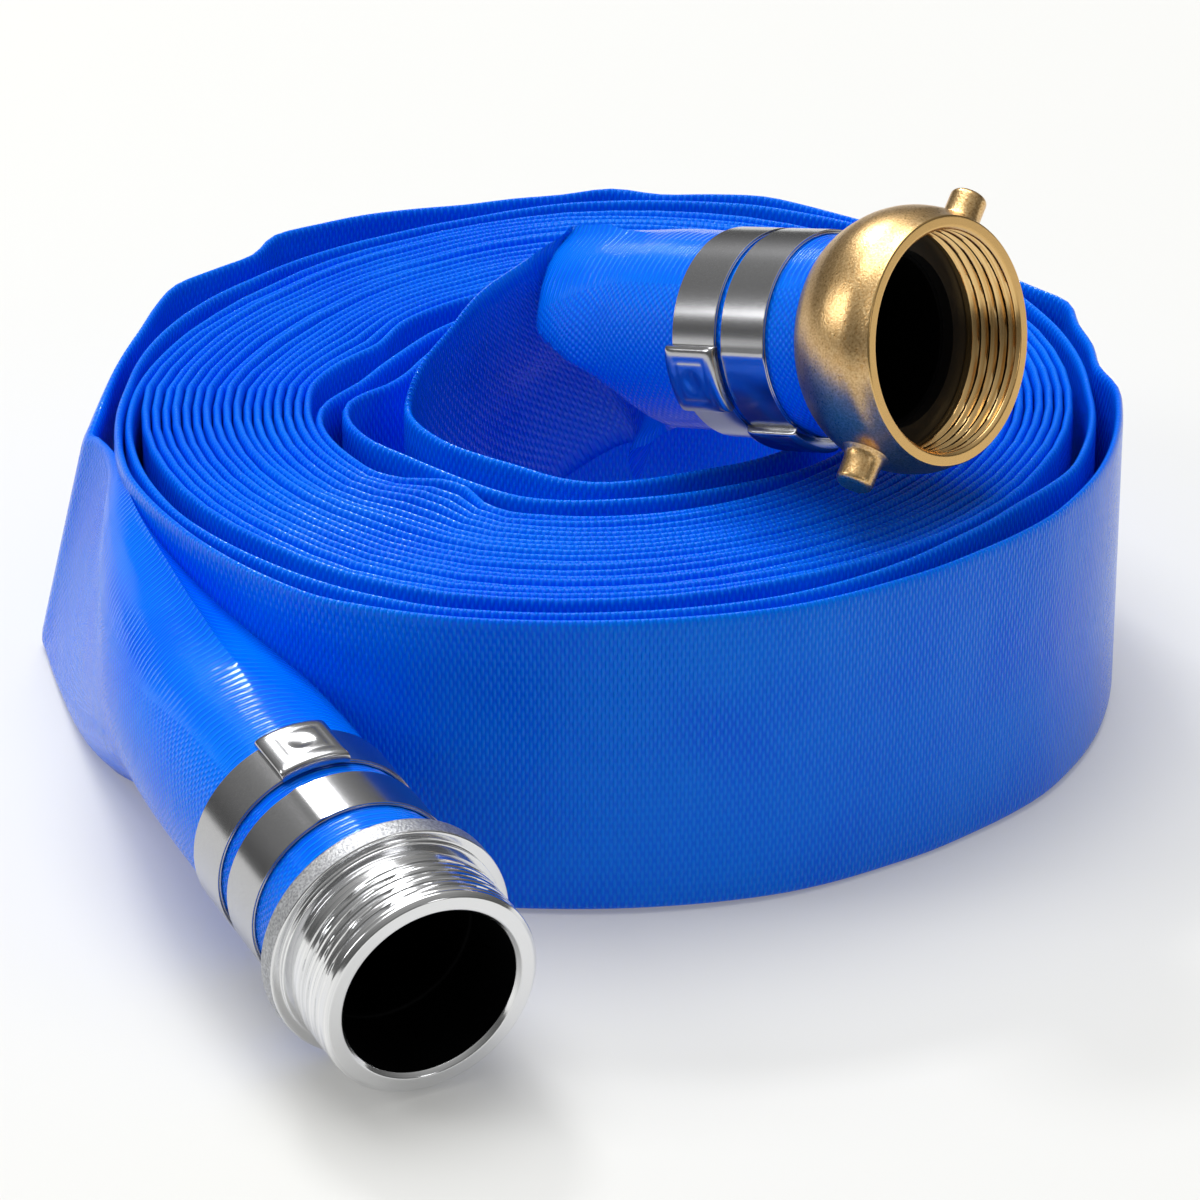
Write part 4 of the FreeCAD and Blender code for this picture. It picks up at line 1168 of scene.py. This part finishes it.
# %% Lights
def soft_box(name, place, target, size, power):
    """A rectangular area light at a place, in metres, that faces its target."""
    light = bpy.data.lights.new(name, "AREA")
    light.shape = "RECTANGLE"
    light.size, light.size_y = size
    light.energy = power
    lamp = bpy.data.objects.new(name, light)
    lamp.location = place
    lamp.rotation_euler = (Vector(target) - Vector(place)).to_track_quat("-Z", "Y").to_euler()
    bpy.context.scene.collection.objects.link(lamp)
    print(f"{name}: {power} W")


soft_box("behind", (-1.2, 3.2, 3.4), (0, 0, 0.05), (1.0, 0.45), 65)
soft_box("left", (-1.8, -0.2, 1.1), (0, 0, 0.1), (0.6, 0.8), 8)
soft_box("front_right", (1.4, -1.3, 0.9), (0, 0, 0.05), (0.35, 0.35), 1.5)
overhead = bpy.data.lights.new("overhead", "SUN")
overhead.energy = 2.05
overhead.angle = math.radians(50)
lamp = bpy.data.objects.new("overhead", overhead)
lamp.rotation_euler = (math.radians(-14), math.radians(-6), 0)
bpy.context.scene.collection.objects.link(lamp)


# %% The studio around it
# Strength of the surround: the walls' plus, towards the zenith, the ceiling's times the square of the
# height.
WALLS = 0.10
CEILING = 0.55
world = bpy.data.worlds.new("surround")
bpy.context.scene.world = world
world.use_nodes = True
background = world.node_tree.nodes["Background"]
background.inputs["Color"].default_value = linear("#FAFAF8")
direction = add_node(world.node_tree, "ShaderNodeTexCoord")
height = add_node(world.node_tree, "ShaderNodeSeparateXYZ", {"Vector": direction.outputs["Generated"]})
squared = add_node(world.node_tree, "ShaderNodeMath", {0: height.outputs["Z"], 1: height.outputs["Z"]},
                   operation="MULTIPLY")
strength = add_node(world.node_tree, "ShaderNodeMath", {0: squared.outputs[0], 1: CEILING, 2: WALLS},
                    operation="MULTIPLY_ADD")
world.node_tree.links.new(strength.outputs[0], background.inputs["Strength"])
print("surround:", WALLS, "at the walls,", WALLS + CEILING, "overhead")


# %% Camera
CAMERA_PLACE = (7.47, -1419.97, 738.52)
LOOKS_DOWN = 26
camera_data = bpy.data.cameras.new("camera")
camera_data.lens = 169.5
camera_data.sensor_width = 36.0
camera = bpy.data.objects.new("camera", camera_data)
camera.location = [c * MM for c in CAMERA_PLACE]
camera.rotation_euler = (math.radians(90 - LOOKS_DOWN), 0, 0)
bpy.context.scene.collection.objects.link(camera)
bpy.context.scene.camera = camera
bpy.context.scene.view_settings.view_transform = "Standard"
print("camera looks down by", LOOKS_DOWN, "degrees")
